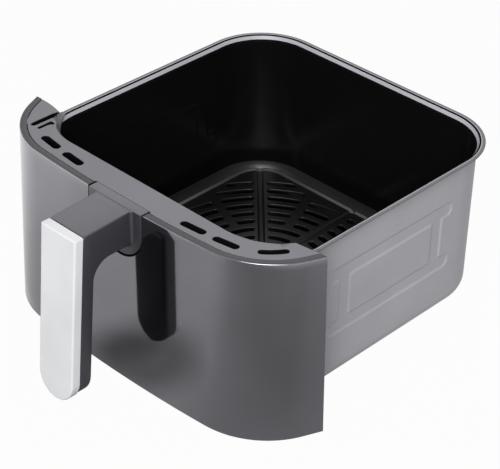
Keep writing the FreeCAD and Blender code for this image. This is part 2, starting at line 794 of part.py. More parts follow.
def make_handle_body():
    """Root, arm and grip in one moulding. The root fills the panel's notch, and the arm flares
    into it. Two blind holes at the back take the threaded inserts."""
    body = new_body("handle_body")
    side = new_sketch(body, "handle_side", "YZ_Plane")
    back = size.face_depth + size.grip_depth
    turn = math.atan(size.grip_lean)
    elbow = size.elbow_radius
    under = size.arm_depth
    opening = math.pi / 2 + turn
    run = elbow / math.tan(opening / 2)
    corner = grip_point(back, under)
    up_grip = corner + Vector(-math.sin(turn), -math.cos(turn), 0) * run
    along_arm = corner + Vector(run, 0, 0)
    centre = along_arm + Vector(0, -elbow, 0)
    toward = corner - centre
    middle = centre + toward * (elbow / toward.Length)
    bottom = size.grip_length - size.face_edge
    root = -size.head_back
    face = -(apex_at(deck_top) + size.head_proud)
    flare = size.root_flare
    bite = flare * (1 - math.sin(math.radians(45)))
    low = arm_top - under
    draw(
        side,
        Vector(root, deck_top, 0),
        (Vector(face, deck_top, 0),),
        (grip_point(size.face_depth, 0),),
        (grip_point(size.face_depth, bottom),),
        (grip_point(back, bottom),),
        (up_grip,),
        (middle, along_arm),
        (Vector(face - flare, low, 0),),
        (Vector(face - bite, low - bite, 0), Vector(face, low - flare, 0)),
        (Vector(root, low - flare, 0),),
        (Vector(root, deck_top, 0),),
    )
    pad(body, side, "Sizes.handle_width", symmetric=True)
    round_end(body, "grip_end", grip_point(0, bottom).y)
    head = new_sketch(body, "handle_head", "XZ_Plane", "Sizes.head_back")
    draw_head(head, 0.0, 0.0)
    pad(body, head, "Sizes.panel_front - Sizes.panel_lean / 2 - Sizes.head_back + Sizes.head_proud")
    half = size.handle_width / 2
    flare_plan = new_sketch(body, "root_flare", "XY_Plane",
                            DECK_TOP + " - Sizes.arm_drop - Sizes.arm_depth")
    draw(
        flare_plan,
        Vector(half, face - flare, 0),
        (Vector(half + bite, face - bite, 0), Vector(half + flare, face, 0)),
        (Vector(-half - flare, face, 0),),
        (Vector(-half - bite, face - bite, 0), Vector(-half, face - flare, 0)),
        (Vector(half, face - flare, 0),),
    )
    pad(body, flare_plan, "Sizes.arm_depth + Sizes.arm_drop / 2")
    holes = new_sketch(body, "insert_holes", "XZ_Plane", "Sizes.head_back")
    for place in handle_screw_places():
        holes.addGeometry(Part.Circle(place, Vector(0, 0, 1), size.insert_radius))
    pocket(body, holes, "Sizes.insert_length", reverse=True)
    return body


def handle_screw_places():
    """Centres of the two handle screws, in X and Z."""
    half = size.handle_screw_across / 2
    return [Vector(-half, handle_screw_height, 0), Vector(half, handle_screw_height, 0)]


def make_handle_face():
    """The silver cap on the front of the grip, with a round lower end and soft edges."""
    body = new_body("handle_face")
    side = new_sketch(body, "face_side", "YZ_Plane")
    length = size.grip_length
    draw(
        side,
        grip_point(0, 0),
        (grip_point(size.face_depth, 0),),
        (grip_point(size.face_depth, length),),
        (grip_point(0, length),),
        (grip_point(0, 0),),
    )
    pad(body, side, "Sizes.handle_width", symmetric=True)
    round_end(body, "face_end", grip_point(0, length).y)

    def on_front(edge):
        return all(abs(point.y - grip_point(0, arm_top - point.z).x) < 1e-4 for point in edge.discretize(3))

    round_edges(body, "face_soft_edge", "Sizes.face_edge", on_front)
    return body


def round_end(body, name, low):
    """Cuts the lower end of the grip to a half circle, as seen from the front."""
    half = size.handle_width / 2
    sketch = new_sketch(body, name, "XZ_Plane", "Sizes.grip_front")
    wide = half * 2
    draw(
        sketch,
        Vector(-half, low + half, 0),
        (Vector(0, low, 0), Vector(half, low + half, 0)),
        (Vector(wide, low + half, 0),),
        (Vector(wide, low - half, 0),),
        (Vector(-wide, low - half, 0),),
        (Vector(-wide, low + half, 0),),
        (Vector(-half, low + half, 0),),
    )
    pocket(body, sketch, "Sizes.handle_width * 2", symmetric=True)


def make_front_carrier():
    """The moulded plate behind the panel: a pad for the handle's root, columns for the trim
    screws, and holes for the screws of the handle, the panel and the bracket."""
    body = new_body("front_carrier")
    mid_height = size.carrier_base + carrier_height / 2
    plate = new_sketch(body, "carrier_plate", "XZ_Plane", "Sizes.carrier_back")
    draw_rounded(plate, size.carrier_width / 2, carrier_height / 2, size.column_radius * 2, mid_height)
    pad(body, plate, "Sizes.carrier_gauge")
    seat = new_sketch(body, "root_pad", "XZ_Plane", CARRIER_FRONT)
    half = size.handle_width / 2
    top = carrier_top
    low = deck_top - size.head_height + size.column_radius
    draw(seat, Vector(-half, low, 0), (Vector(half, low, 0),), (Vector(half, top, 0),), (Vector(-half, top, 0),),
         (Vector(-half, low, 0),))
    pad(body, seat, "Sizes.head_back - Sizes.carrier_back - Sizes.carrier_gauge")
    columns = new_sketch(body, "columns", "XY_Plane",
                         CARRIER_TOP + " - Sizes.column_height")
    for place in column_places():
        columns.addGeometry(Part.Circle(place, Vector(0, 0, 1), size.column_radius))
    pad(body, columns, "Sizes.column_height")
    column_holes = new_sketch(body, "column_holes", "XY_Plane",
                              CARRIER_TOP + " - Sizes.column_height")
    for place in column_places():
        radius = size.small_screw_radius + size.screw_hole_gap
        column_holes.addGeometry(Part.Circle(place, Vector(0, 0, 1), radius))
    pocket(body, column_holes, "Sizes.column_height", reverse=True)
    relief = new_sketch(body, "screw_relief", "XY_Plane",
                        CARRIER_TOP + " - Sizes.column_height")
    for place in column_places():
        relief.addGeometry(Part.Circle(place, Vector(0, 0, 1), size.column_radius))
    pocket(body, relief, "Sizes.screw_head_height * 4")
    holes = new_sketch(body, "carrier_holes", "XZ_Plane", "Sizes.carrier_back")
    gap = size.screw_hole_gap
    for place in handle_screw_places() + bracket_screw_places():
        holes.addGeometry(Part.Circle(place, Vector(0, 0, 1), size.screw_radius + gap))
    for place in boss_places():
        holes.addGeometry(Part.Circle(place, Vector(0, 0, 1), size.small_screw_radius + gap))
    pocket(body, holes, "Sizes.head_back - Sizes.carrier_back", reverse=True)
    return body


def bracket_screw_places():
    """Centres of the four screws that hold the carrier on the pan's bracket, in X and Z."""
    half = size.bracket_screw_across / 2
    mid = size.bracket_base + size.bracket_height / 2
    rise = size.bracket_screw_up / 2
    return [Vector(x, mid + z, 0) for x in (-half, half) for z in (-rise, rise)]


def make_pan_bracket():
    """A hat-shaped steel strap: its feet lie on the pan's front wall, its web meets the carrier."""
    body = new_body("pan_bracket")
    plan = new_sketch(body, "hat", "XY_Plane", "Sizes.bracket_base")
    web = size.bracket_width / 2
    gauge = size.bracket_gauge
    foot = web + size.bracket_foot
    wall = -wall_half
    front = -size.carrier_back
    draw(
        plan,
        Vector(-foot, wall, 0),
        (Vector(-foot, wall - gauge, 0),),
        (Vector(-web, wall - gauge, 0),),
        (Vector(-web, front, 0),),
        (Vector(web, front, 0),),
        (Vector(web, wall - gauge, 0),),
        (Vector(foot, wall - gauge, 0),),
        (Vector(foot, wall, 0),),
        (Vector(web - gauge, wall, 0),),
        (Vector(web - gauge, front + gauge, 0),),
        (Vector(-web + gauge, front + gauge, 0),),
        (Vector(-web + gauge, wall, 0),),
        (Vector(-foot, wall, 0),),
    )
    pad(body, plan, "Sizes.bracket_height")
    holes = new_sketch(body, "bracket_holes", "XZ_Plane", f"{WALL_HALF} + Sizes.bracket_gauge * 2")
    for place in bracket_screw_places():
        holes.addGeometry(Part.Circle(place, Vector(0, 0, 1), size.screw_radius + size.screw_hole_gap))
    pocket(body, holes, "Sizes.carrier_back", reverse=True)
    return body


def make_handle_plate():
    """A steel strip behind the carrier that spreads the load of the handle screws."""
    body = new_body("handle_plate")
    sketch = new_sketch(body, "handle_plate_face", "XZ_Plane", "Sizes.carrier_back")
    draw_rounded(sketch, size.handle_plate_width / 2, size.handle_plate_height / 2, size.washer_radius / 2,
                 handle_screw_height)
    for place in handle_screw_places():
        sketch.addGeometry(Part.Circle(place, Vector(0, 0, 1), size.screw_radius + size.screw_hole_gap))
    pad(body, sketch, "Sizes.handle_plate_gauge", reverse=True)
    return body


def cylinder(name, radius, height, place):
    """A cylinder whose radius and height follow expressions."""
    item = doc.addObject("Part::Cylinder", name)
    item.setExpression("Radius", radius)
    item.setExpression("Height", height)
    item.Placement = place
    return item


def group(name, items):
    """Like pieces as one node of separate solids."""
    node = doc.addObject("Part::Compound", name)
    node.Links = items
    node.Label = name
    return node


def make_screws(name, places, direction, shank_radius, shank_length):
    """Pan-head screws: each place is under the head, and the shank runs along the direction."""
    turn = Rotation(Vector(0, 0, 1), direction)
    screws = []
    for n, place in enumerate(places):
        shank = cylinder(f"{name}_shank_{n}", shank_radius, shank_length, Placement(place, turn))
        seat = Placement(place, turn) * Placement(Vector(0, 0, -size.screw_head_height), Rotation())
        head = cylinder(f"{name}_head_{n}", f"{shank_radius} * 1.9", "Sizes.screw_head_height", seat)
        screw = doc.addObject("Part::Fuse", f"{name}_{n}")
        screw.Base = shank
        screw.Tool = head
        screws.append(screw)
    return group(name, screws)


def make_rings(name, places, direction, outer, bore, height):
    """Round pieces with a bore, standing from each place along the direction."""
    turn = Rotation(Vector(0, 0, 1), direction)
    rings = []
    for n, place in enumerate(places):
        ring = doc.addObject("Part::Cut", f"{name}_{n}")
        ring.Base = cylinder(f"{name}_outer_{n}", outer, height, Placement(place, turn))
        ring.Tool = cylinder(f"{name}_bore_{n}", bore, height, Placement(place, turn))
        rings.append(ring)
    return group(name, rings)


def in_depth(places, depth):
    """Places given in X and Z, set at a distance in front of the pan's centre."""
    return [Vector(place.x, -depth, place.y) for place in places]


def make_fasteners():
    """Screws, washers, inserts and nuts, each kind one node."""
    front = Vector(0, -1, 0)
    back = Vector(0, 1, 0)
    up = Vector(0, 0, 1)
    washer_face = size.carrier_back - size.handle_plate_gauge
    head_face = washer_face - size.washer_gauge
    bore = "Sizes.screw_radius + Sizes.screw_hole_gap / 10"
    nodes = [
        make_rings("handle_inserts", in_depth(handle_screw_places(), size.head_back), front,
                   "Sizes.insert_radius", bore, "Sizes.insert_length"),
        make_rings("handle_washers", in_depth(handle_screw_places(), washer_face), back,
                   "Sizes.washer_radius", bore, "Sizes.washer_gauge"),
        make_screws("handle_screws", in_depth(handle_screw_places(), head_face), front, "Sizes.screw_radius",
                    "Sizes.head_back + Sizes.insert_length - 1 - Sizes.carrier_back"
                    " + Sizes.handle_plate_gauge + Sizes.washer_gauge"),
        make_screws("panel_screws", in_depth(boss_places(), size.carrier_back), front, "Sizes.small_screw_radius",
                    "Sizes.carrier_gauge + Sizes.boss_radius - 0.5"),
        make_screws("bracket_screws", in_depth(bracket_screw_places(), carrier_front), back, "Sizes.screw_radius",
                    "Sizes.carrier_gauge + Sizes.bracket_gauge + Sizes.nut_height"),
        make_rings("bracket_nuts", in_depth(bracket_screw_places(), size.carrier_back - size.bracket_gauge), back,
                   "Sizes.nut_radius", bore, "Sizes.nut_height"),
    ]
    low = carrier_top - size.column_height
    under = [place + Vector(0, 0, low) for place in column_places()]
    nodes.append(make_screws("trim_screws", under, up, "Sizes.small_screw_radius",
                             "Sizes.column_height + Sizes.boss_radius * 2 - 0.5"))
    return nodes


def make_all():
    """Every sub-part of the drawer."""
    nodes = [
        make_pan(),
        make_crisper_plate(),
        make_front_panel(),
        make_front_carrier(),
        make_top_trim(),
        make_handle_body(),
        make_handle_face(),
        make_handle_plate(),
        make_pan_bracket(),
    ]
    for name, turn in (("foot_rear", 0), ("foot_left", 90), ("foot_front", 180), ("foot_right", 270)):
        nodes.append(make_foot(name, turn))
    return nodes + make_fasteners()


def check_all(nodes):
    """Stops if anything in the document failed, or a sub-part has no valid shape."""
    doc.recompute()
    for item in doc.Objects:
        if "Invalid" in item.State or "Error" in item.State:
            raise RuntimeError(f"{item.Name} failed: {item.State}")
    for node in nodes:
        if node.Shape.isNull() or not node.Shape.isValid() or not node.Shape.Solids:
            raise RuntimeError(f"{node.Label} has no valid solid")


nodes = make_all()
check_all(nodes)
os.makedirs("parts", exist_ok=True)
for node in nodes:
    node.Shape.exportStep(f"parts/{node.Label}.step")
    print(node.Label, len(node.Shape.Solids), "solids", round(node.Shape.Volume / 1000, 2), "cm3")
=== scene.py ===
# %% [markdown]
# # The drawer of an air fryer
# The solid model comes from the CAD step, and this script dresses it. Every new surface is
# worked out in millimetres with numpy and written into a mesh in metres, in the same frame as
# the CAD: +Z up, the handle towards -Y, the origin at the centre of the pan's underside.

# %% Load the frame
import json
import math
import bmesh
import bpy
import numpy as np
from mathutils import Matrix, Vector
from mathutils.geometry import delaunay_2d_cdt


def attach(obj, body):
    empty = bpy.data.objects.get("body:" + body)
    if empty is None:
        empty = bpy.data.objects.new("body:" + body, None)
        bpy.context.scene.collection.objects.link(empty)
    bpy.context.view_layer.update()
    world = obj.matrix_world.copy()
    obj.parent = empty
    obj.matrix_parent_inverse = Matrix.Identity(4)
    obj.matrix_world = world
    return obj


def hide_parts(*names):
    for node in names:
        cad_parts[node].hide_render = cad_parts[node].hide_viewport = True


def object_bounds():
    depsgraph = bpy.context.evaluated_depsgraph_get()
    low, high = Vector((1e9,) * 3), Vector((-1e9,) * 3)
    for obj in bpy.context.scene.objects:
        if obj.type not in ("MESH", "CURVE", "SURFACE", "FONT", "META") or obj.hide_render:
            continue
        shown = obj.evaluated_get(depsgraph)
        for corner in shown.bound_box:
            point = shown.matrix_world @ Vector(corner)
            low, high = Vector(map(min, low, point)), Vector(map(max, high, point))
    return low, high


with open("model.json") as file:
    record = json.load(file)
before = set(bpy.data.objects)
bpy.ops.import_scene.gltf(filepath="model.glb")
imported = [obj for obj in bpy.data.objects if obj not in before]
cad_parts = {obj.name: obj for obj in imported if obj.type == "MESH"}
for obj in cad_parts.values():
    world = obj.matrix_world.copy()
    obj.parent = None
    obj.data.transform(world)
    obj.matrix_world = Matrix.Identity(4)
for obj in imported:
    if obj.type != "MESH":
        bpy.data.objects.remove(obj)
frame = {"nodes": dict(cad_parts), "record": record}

CAD_BOX = [list(corner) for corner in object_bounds()]
print("nodes", len(frame["nodes"]))

# %% [markdown]
# ## From arrays to a mesh
# A surface can be modelled by hand, or computed. Here each one is a grid of points, or a profile
# carried along a path, so that a size can change and the shape follows. Blender wants a list of
# points and, for every face, the numbers of its corners. These helpers number a whole grid at once.

# %% Grids and lids
def grid_faces(rows, columns, wrap=False):
    """Corners of every cell of a grid whose points are numbered row by row. A wrapped grid also
    joins its last column to its first."""
    cells = columns if wrap else columns - 1
    row, column = np.meshgrid(np.arange(rows - 1), np.arange(cells), indexing="ij")
    after = (column + 1) % columns
    corners = [row * columns + column, row * columns + after,
               (row + 1) * columns + after, (row + 1) * columns + column]
    return np.stack(corners, axis=-1).reshape(-1, 4)


def sheet(points, wrap=False):
    """A grid of points, rows by columns by three, as a pair of points and faces."""
    rows, columns = points.shape[:2]
    return points.reshape(-1, 3), grid_faces(rows, columns, wrap)


def fan(ring, middle):
    """A lid on a ring of points: a triangle from every edge of the ring to a middle point."""
    count = len(ring)
    index = np.arange(count)
    faces = np.stack([index, (index + 1) % count, np.full(count, count)], axis=1)
    return np.concatenate([ring, [middle]]), faces


print("a grid of 3 by 4 points has", len(grid_faces(3, 4)), "faces")

# %% [markdown]
# A real part such as the pan is one piece of material with several coats on it. Its surfaces could
# be made as objects and joined in Blender. This helper joins the grids of one piece, closes the
# seams where they meet, turns the faces outwards and shades the result smooth except at real edges.

# %% One piece
MM = 0.001


def join_parts(name, parts):
    """One mesh from parts (points in mm, faces, material), in which every face has its material."""
    points, faces, slots, materials = [], [], [], []
    count = 0
    for part_points, part_faces, material in parts:
        if material not in materials:
            materials.append(material)
        points.append(part_points)
        faces.extend((part_faces + count).tolist())
        slots.extend([materials.index(material)] * len(part_faces))
        count += len(part_points)
    mesh = bpy.data.meshes.new(name)
    mesh.from_pydata(np.concatenate(points) * MM, [], faces)
    for material in materials:
        mesh.materials.append(material)
    mesh.polygons.foreach_set("material_index", np.array(slots, dtype=np.int32))
    return mesh


def make_piece(name, body, replaced, parts, sharp=38.0):
    """One object from parts: coincident points become one, the normals turn outwards, and edges
    sharper than an angle stay sharp. It rides on a body and stands in for a CAD node."""
    mesh = join_parts(name, parts)
    work = bmesh.new()
    work.from_mesh(mesh)
    bmesh.ops.remove_doubles(work, verts=work.verts, dist=1e-6)
    bmesh.ops.dissolve_degenerate(work, edges=work.edges, dist=1e-7)
    bmesh.ops.recalc_face_normals(work, faces=work.faces)
    work.to_mesh(mesh)
    work.free()
    mesh.polygons.foreach_set("use_smooth", np.ones(len(mesh.polygons), dtype=bool))
    mesh.set_sharp_from_angle(angle=math.radians(sharp))
    piece = bpy.data.objects.new(name, mesh)
    bpy.context.scene.collection.objects.link(piece)
    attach(piece, body)
    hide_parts(replaced)
    print(name, len(mesh.vertices), "points", len(mesh.polygons), "faces")
    return piece


print("sizes are in millimetres, one to", MM, "m")

# %% [markdown]
# Pressed sheet and mouldings have few kinds of curve: round corners, and slopes that begin and end
# softly. They could be drawn as Bezier curves. Two short functions give them with exact sizes.

# %% Curves
def arc(mid, radius, begin, end, steps):
    """Points on a circle in a plane, from one angle to another, in degrees."""
    turn = np.radians(np.linspace(begin, end, steps + 1))
    return np.stack([mid[0] + radius * np.cos(turn), mid[1] + radius * np.sin(turn)], axis=1)


def ease(value):
    """A smooth step from 0 to 1: three times the square less twice the cube."""
    value = np.clip(value, 0.0, 1.0)
    return value * value * (3.0 - 2.0 * value)


print("a quarter of the way along a smooth step", ease(0.25))

# %% [markdown]
# ## Finishes
# Each finish is a Principled shader whose colour, roughness and bump come from noise on Object
# coordinates, so that the grain has a real size in metres and stays on the piece. The grain of a
# coating or a moulding is a few tenths of a millimetre, and slow clouds of a few centimetres keep
# a large face from looking computed.

# %% Finish helpers
NOISE_SPAN, ROUGH_SPREAD, CLOUDS = (0.3, 0.7), 0.08, 22.0


def range_node(nodes, links, source, span, values, smooth=False):
    """A socket's span carried to a span of values, along a straight line or a smooth step."""
    node = nodes.new("ShaderNodeMapRange")
    node.interpolation_type = "SMOOTHSTEP" if smooth else "LINEAR"
    for name, value in zip(("From Min", "From Max", "To Min", "To Max"), (*span, *values)):
        node.inputs[name].default_value = value
    links.new(source, node.inputs["Value"])
    return node.outputs["Result"]


def noise_node(nodes, links, place, scale, detail):
    """Noise at a place, with its waves counted to the metre."""
    node = nodes.new("ShaderNodeTexNoise")
    node.inputs["Scale"].default_value = scale
    node.inputs["Detail"].default_value = detail
    links.new(place, node.inputs["Vector"])
    return node.outputs["Fac"]


def make_finish(name, colour, roughness, grain=0.0004, bump=0.03, drift=0.05, metallic=0.0, ior=1.5,
                gloss=(1.0, 1.0, 1.0)):
    """A finish: base colour that drifts slowly, roughness that varies with the grain, bump, and the
    tint of its gloss."""
    material = bpy.data.materials.new(name)
    material.use_nodes = True
    nodes, links = material.node_tree.nodes, material.node_tree.links
    shader = nodes["Principled BSDF"]
    shader.inputs["Metallic"].default_value = metallic
    shader.inputs["IOR"].default_value = ior
    shader.inputs["Specular Tint"].default_value = (*gloss, 1.0)
    place = nodes.new("ShaderNodeTexCoord").outputs["Object"]
    fine = noise_node(nodes, links, place, 0.5 / grain, 3.0)
    slow = noise_node(nodes, links, place, CLOUDS, 2.0)
    mix = nodes.new("ShaderNodeMix")
    mix.data_type = "RGBA"
    mix.inputs["A"].default_value = [c * (1 - drift) for c in colour] + [1.0]
    mix.inputs["B"].default_value = [c * (1 + drift) for c in colour] + [1.0]
    links.new(range_node(nodes, links, slow, NOISE_SPAN, (0.0, 1.0)), mix.inputs["Factor"])
    links.new(mix.outputs["Result"], shader.inputs["Base Color"])
    spread = (roughness * (1 - ROUGH_SPREAD), roughness * (1 + ROUGH_SPREAD))
    links.new(range_node(nodes, links, fine, NOISE_SPAN, spread), shader.inputs["Roughness"])
    lift = nodes.new("ShaderNodeBump")
    lift.inputs["Strength"].default_value = bump
    lift.inputs["Distance"].default_value = grain
    links.new(fine, lift.inputs["Height"])
    links.new(lift.outputs["Normal"], shader.inputs["Normal"])
    return material


print("clouds of about", round(1000 / CLOUDS), "mm")

# %% [markdown]
# The drawer has few colours. The pan is grey outside and black inside, with a dark rim. The panel
# is a glossy dark coat that mirrors what lies in front of it, so it is made as a metal. Trim and
# handle are mouldings with a fine grain, and the cap on the grip is painted silver. One list of
# calls keeps them side by side, which is easier to tune than a material for each piece in turn.

# %% Finishes
def cool(level):
    """A grey with a trace of violet, as on the drawer's paints and mouldings."""
    return (level, level * 0.983, level * 1.068)


# The pan's grey coat outside; the same grey is also painted inside the rim as a highlight line and band.
grey_coat_and_painted_highlight = make_finish("grey_coat_and_painted_highlight", cool(0.400), 0.38, grain=0.0006, bump=0.05, ior=1.40)
rim_grey = make_finish("rim_grey", cool(0.135), 0.42, grain=0.0006, bump=0.04, ior=1.35)
coat_black = make_finish("coat_black", (0.0035, 0.0035, 0.0037), 0.22, grain=0.0008, bump=0.02, ior=1.39)
plate_black = make_finish("plate_black", (0.005, 0.005, 0.0053), 0.36, grain=0.0006, bump=0.04, ior=1.45)
# painted reflection: a lighter black on the round lower edge inside the pan
painted_reflection_foot = make_finish("painted_reflection_foot", (0.019, 0.019, 0.020), 0.34, grain=0.0008, bump=0.02)
panel_dark = make_finish("panel_dark", cool(0.26), 0.055, grain=0.0008, bump=0.003, metallic=1.0)
panel_edge = make_finish("panel_edge", cool(0.050), 0.48, grain=0.0005, bump=0.04, ior=1.3)
trim_grey = make_finish("trim_grey", (0.131, 0.127, 0.147), 0.48, grain=0.0004, bump=0.08)
grip_dark = make_finish("grip_dark", (0.018, 0.0176, 0.0216), 0.42, grain=0.0004, bump=0.05, ior=1.78,
                        gloss=(0.935, 0.915, 1.0))
silver_paint = make_finish("silver_paint", (0.690, 0.700, 0.716), 0.45, grain=0.0003, bump=0.02)
# Matt black on the pan's inner slope below the painted band. The same black is also painted as shade in the
# pan's crease, in the gaps of panel and trim, in the vents and behind the latch.
black_and_painted_shade = make_finish("black_and_painted_shade", (0.004, 0.004, 0.0042), 0.65, grain=0.0005, bump=0.02, ior=1.06)
# painted highlight: a lighter, glossier black for the plate's border and bead
plate_bead_highlight = make_finish("plate_bead_highlight", (0.035, 0.035, 0.036), 0.26, grain=0.0006, bump=0.02, ior=1.9)
carrier_grey = make_finish("carrier_grey", (0.045, 0.045, 0.046), 0.55, grain=0.0005, bump=0.08)
zinc_steel = make_finish("zinc_steel", (0.60, 0.60, 0.61), 0.32, grain=0.0004, bump=0.03, metallic=1.0)
turned_brass = make_finish("turned_brass", (0.72, 0.55, 0.28), 0.30, grain=0.0003, bump=0.03, metallic=1.0)
soft_silicone = make_finish("soft_silicone", (0.035, 0.035, 0.036), 0.62, grain=0.0005, bump=0.05)
print("grey of the pan", [round(c, 3) for c in cool(0.400)])

# %% [markdown]
# The nodes of the CAD model that stay in view get their finish by the name of their slot, so that
# screws, washers and feet are finished too. This could be done by hand for each of them, and the
# record's own list makes sure that none is left out.

# %% Finish of every node
FINISH = {
    "pan_coating": grey_coat_and_painted_highlight, "plate_coating": plate_black, "silicone": soft_silicone, "panel": panel_dark,
    "carrier": carrier_grey, "trim": trim_grey, "grip": grip_dark, "silver": silver_paint,
    "steel": zinc_steel, "brass": turned_brass,
}
for part in frame["record"]["subparts"]:
    node = frame["nodes"][part["node"]]
    node.data.materials.clear()
    node.data.materials.append(FINISH[part["material_slot"]])
print("finishes", len(FINISH))

# %% [markdown]
# ## Pan
# The pan is drawn from one sheet: a flat floor, a round lower edge, walls that lean out by a millimetre, and a
# flange that is bent outwards at the top. Inside the flange a grey band is painted on the slope as a
# highlight, below a crease painted black as shade. The sides could be extruded and filleted one by one.
# A single sheet profile carried round a square gives the same form with no joints: each profile
# point keeps its distance from an inner square, so the straight sides and round corners follow
# by themselves.

# %% Pan profile and path
CORNER_MID = 73.2
WALL, GAUGE, RIM, RIM_TOP = 113.5, 1.0, 120.0, 121.5
FOOT, HOLLOW, BEND, LEAN = 14.0, 15.5, 3.6, 1.0
# The grey line at the flange's inner edge and the grey band on the slope below the crease are painted
# highlights.
FLAT_END, HIGHLIGHT_LINE_WIDTH, LIP_BEND, HIGHLIGHT_BAND_END, SLOPE_LIFT = 116.1, 0.6, 1.9, 118.8, 0.4
# Below this height the pan's inside is painted a lighter black, as a painted reflection.
REFLECTION_BAND_TOP = 13.7
PRESS_MID = (4.0, 66.0)
PRESS_LONG, PRESS_HIGH, PRESS_BAR, PRESS_SET = 61.0, 26.15, 10.0, 51.0
FINE = 0.4


def dense_near(low, high, step, marks, reach, fine):
    """Numbers from low to high at a step, with finer ones within a reach of each mark."""
    extra = [np.arange(mark - reach, mark + reach + fine / 2, fine) for mark in marks]
    every = np.concatenate([np.linspace(low, high, int(round((high - low) / step)) + 1)] + extra)
    every = np.unique(np.round(every[(every >= low) & (every <= high)], 4))
    return every[np.concatenate([[True], np.diff(every) > fine * 0.4])]


def path_round(straight_x, straight_y, steps):
    """A walk round the inner square: its base points and the outward normals, which turn only at
    the corners."""
    base, normal = [], []
    sides = np.array([[1.0, 0.0], [0.0, 1.0], [-1.0, 0.0], [0.0, -1.0]])
    runs = (straight_x, straight_y, -straight_x[::-1], -straight_y[::-1])
    for quarter, (out, run) in enumerate(zip(sides, runs)):
        along = np.array([-out[1], out[0]])
        base.append(out * CORNER_MID + along * run[:, None])
        normal.append(np.tile(out, (len(run), 1)))
        base.append(np.tile((out + along) * CORNER_MID, (steps - 1, 1)))
        normal.append(arc((0, 0), 1.0, 90 * quarter, 90 * quarter + 90, steps)[1:-1])
    return np.concatenate(base), np.concatenate(normal)


bar_edges = [PRESS_MID[1] + side * (PRESS_HIGH - set_in) for side in (-1, 1) for set_in in (0, PRESS_BAR)]
end_edges = [PRESS_MID[0] + side * reach for side in (-1, 1)
             for reach in (PRESS_LONG - 2, PRESS_SET, PRESS_SET - PRESS_BAR)]
wall_z = dense_near(FOOT, RIM_TOP - GAUGE - BEND, step=5.0, marks=bar_edges, reach=2.4, fine=FINE)
side_y = dense_near(-CORNER_MID, CORNER_MID, step=6.0, marks=end_edges, reach=3.6, fine=FINE)
front_x = np.linspace(-CORNER_MID, CORNER_MID, 9)
base, normal = path_round(side_y, front_x, steps=26)
print("pan path", len(base), "wall rows", len(wall_z))

# %% [markdown]
# A frame is pressed into both side walls: two bars with round ends and two uprights. Cutting it
# with booleans would leave hard edges. A signed distance to the frame's outline pushes both skins
# of the sheet inwards over a slope of 1.8 mm. The slope is gentle, about 25 degrees: a steeper one
# that faces down would be hidden from a camera above, and the frame would lose its dark lines.

# %% Pressed frame
PRESS_DEPTH, PRESS_SLOPE, PRESS_EASE, PRESS_JOIN, INNER_PRESS = 0.8, 1.8, 0.3, 2.0, 0.45


def press_depth(y, z):
    """How far a wall point is pushed in: the depth times a ramp of the distance to the nearest bar
    or upright, from 0 just outside the outline to 1 just inside it, with its two ends eased. Where a
    bar meets an upright, their distances are blended, so that the corner is round."""
    y = y - PRESS_MID[0]
    z = z - PRESS_MID[1]
    half = PRESS_BAR / 2
    past_end = np.maximum(np.abs(y) - (PRESS_LONG - half), 0)
    bar = np.hypot(past_end, np.abs(np.abs(z) - (PRESS_HIGH - half))) - half
    upright = np.maximum(np.abs(np.abs(y) - (PRESS_SET - half)) - half, np.abs(z) - (PRESS_HIGH - half))
    soft = np.maximum(PRESS_JOIN - np.abs(bar - upright), 0.0)
    nearest = np.minimum(bar, upright) - soft * soft / (4.0 * PRESS_JOIN)
    straight = np.clip(0.5 - nearest / PRESS_SLOPE, 0.0, 1.0)
    return PRESS_DEPTH * ((1 - PRESS_EASE) * straight + PRESS_EASE * ease(straight))


def carry(profile, pressed):
    """A profile of (distance, height, share of the lean) carried round the path, with a share of
    the pressing on the X walls. All walls but the front one, which holds the bracket, lean out."""
    outward = 1.0 - np.maximum(-normal[None, :, 1], 0.0)
    across = profile[:, None, 0] - CORNER_MID + LEAN * profile[:, None, 2] * outward
    points = np.empty((len(profile), len(base), 3))
    points[..., 0] = base[None, :, 0] + normal[None, :, 0] * across
    points[..., 1] = base[None, :, 1] + normal[None, :, 1] * across
    points[..., 2] = profile[:, None, 1]
    flat = np.abs(np.abs(normal[None, :, 0]) - 1.0) < 1e-9
    depth = pressed * press_depth(points[..., 1], points[..., 2])
    points[..., 0] -= np.sign(normal[None, :, 0]) * depth * flat
    return points


print("pressed by", press_depth(PRESS_MID[0], PRESS_MID[1] + PRESS_HIGH - PRESS_BAR / 2), "mm")

# %% [markdown]
# The section runs from the floor's edge up the outside, over the flange and down the inside. It is cut where
# the colour changes: grey coat outside, a darker rim with a painted highlight line in the same grey at its
# inner edge, a crease painted black as shade, a slope whose upper part is painted grey as a highlight band,
# and black below it. Low inside, the round lower edge is painted a lighter black, as a painted reflection. One
# mesh with several materials could be painted face by face. Here each stretch of the section is carried round
# by itself, and the seams are merged.

# %% Pan mesh
def leaning(points, share):
    """Profile points with the share of the walls' lean that each of them takes."""
    return np.column_stack([points, np.broadcast_to(share, len(points))])


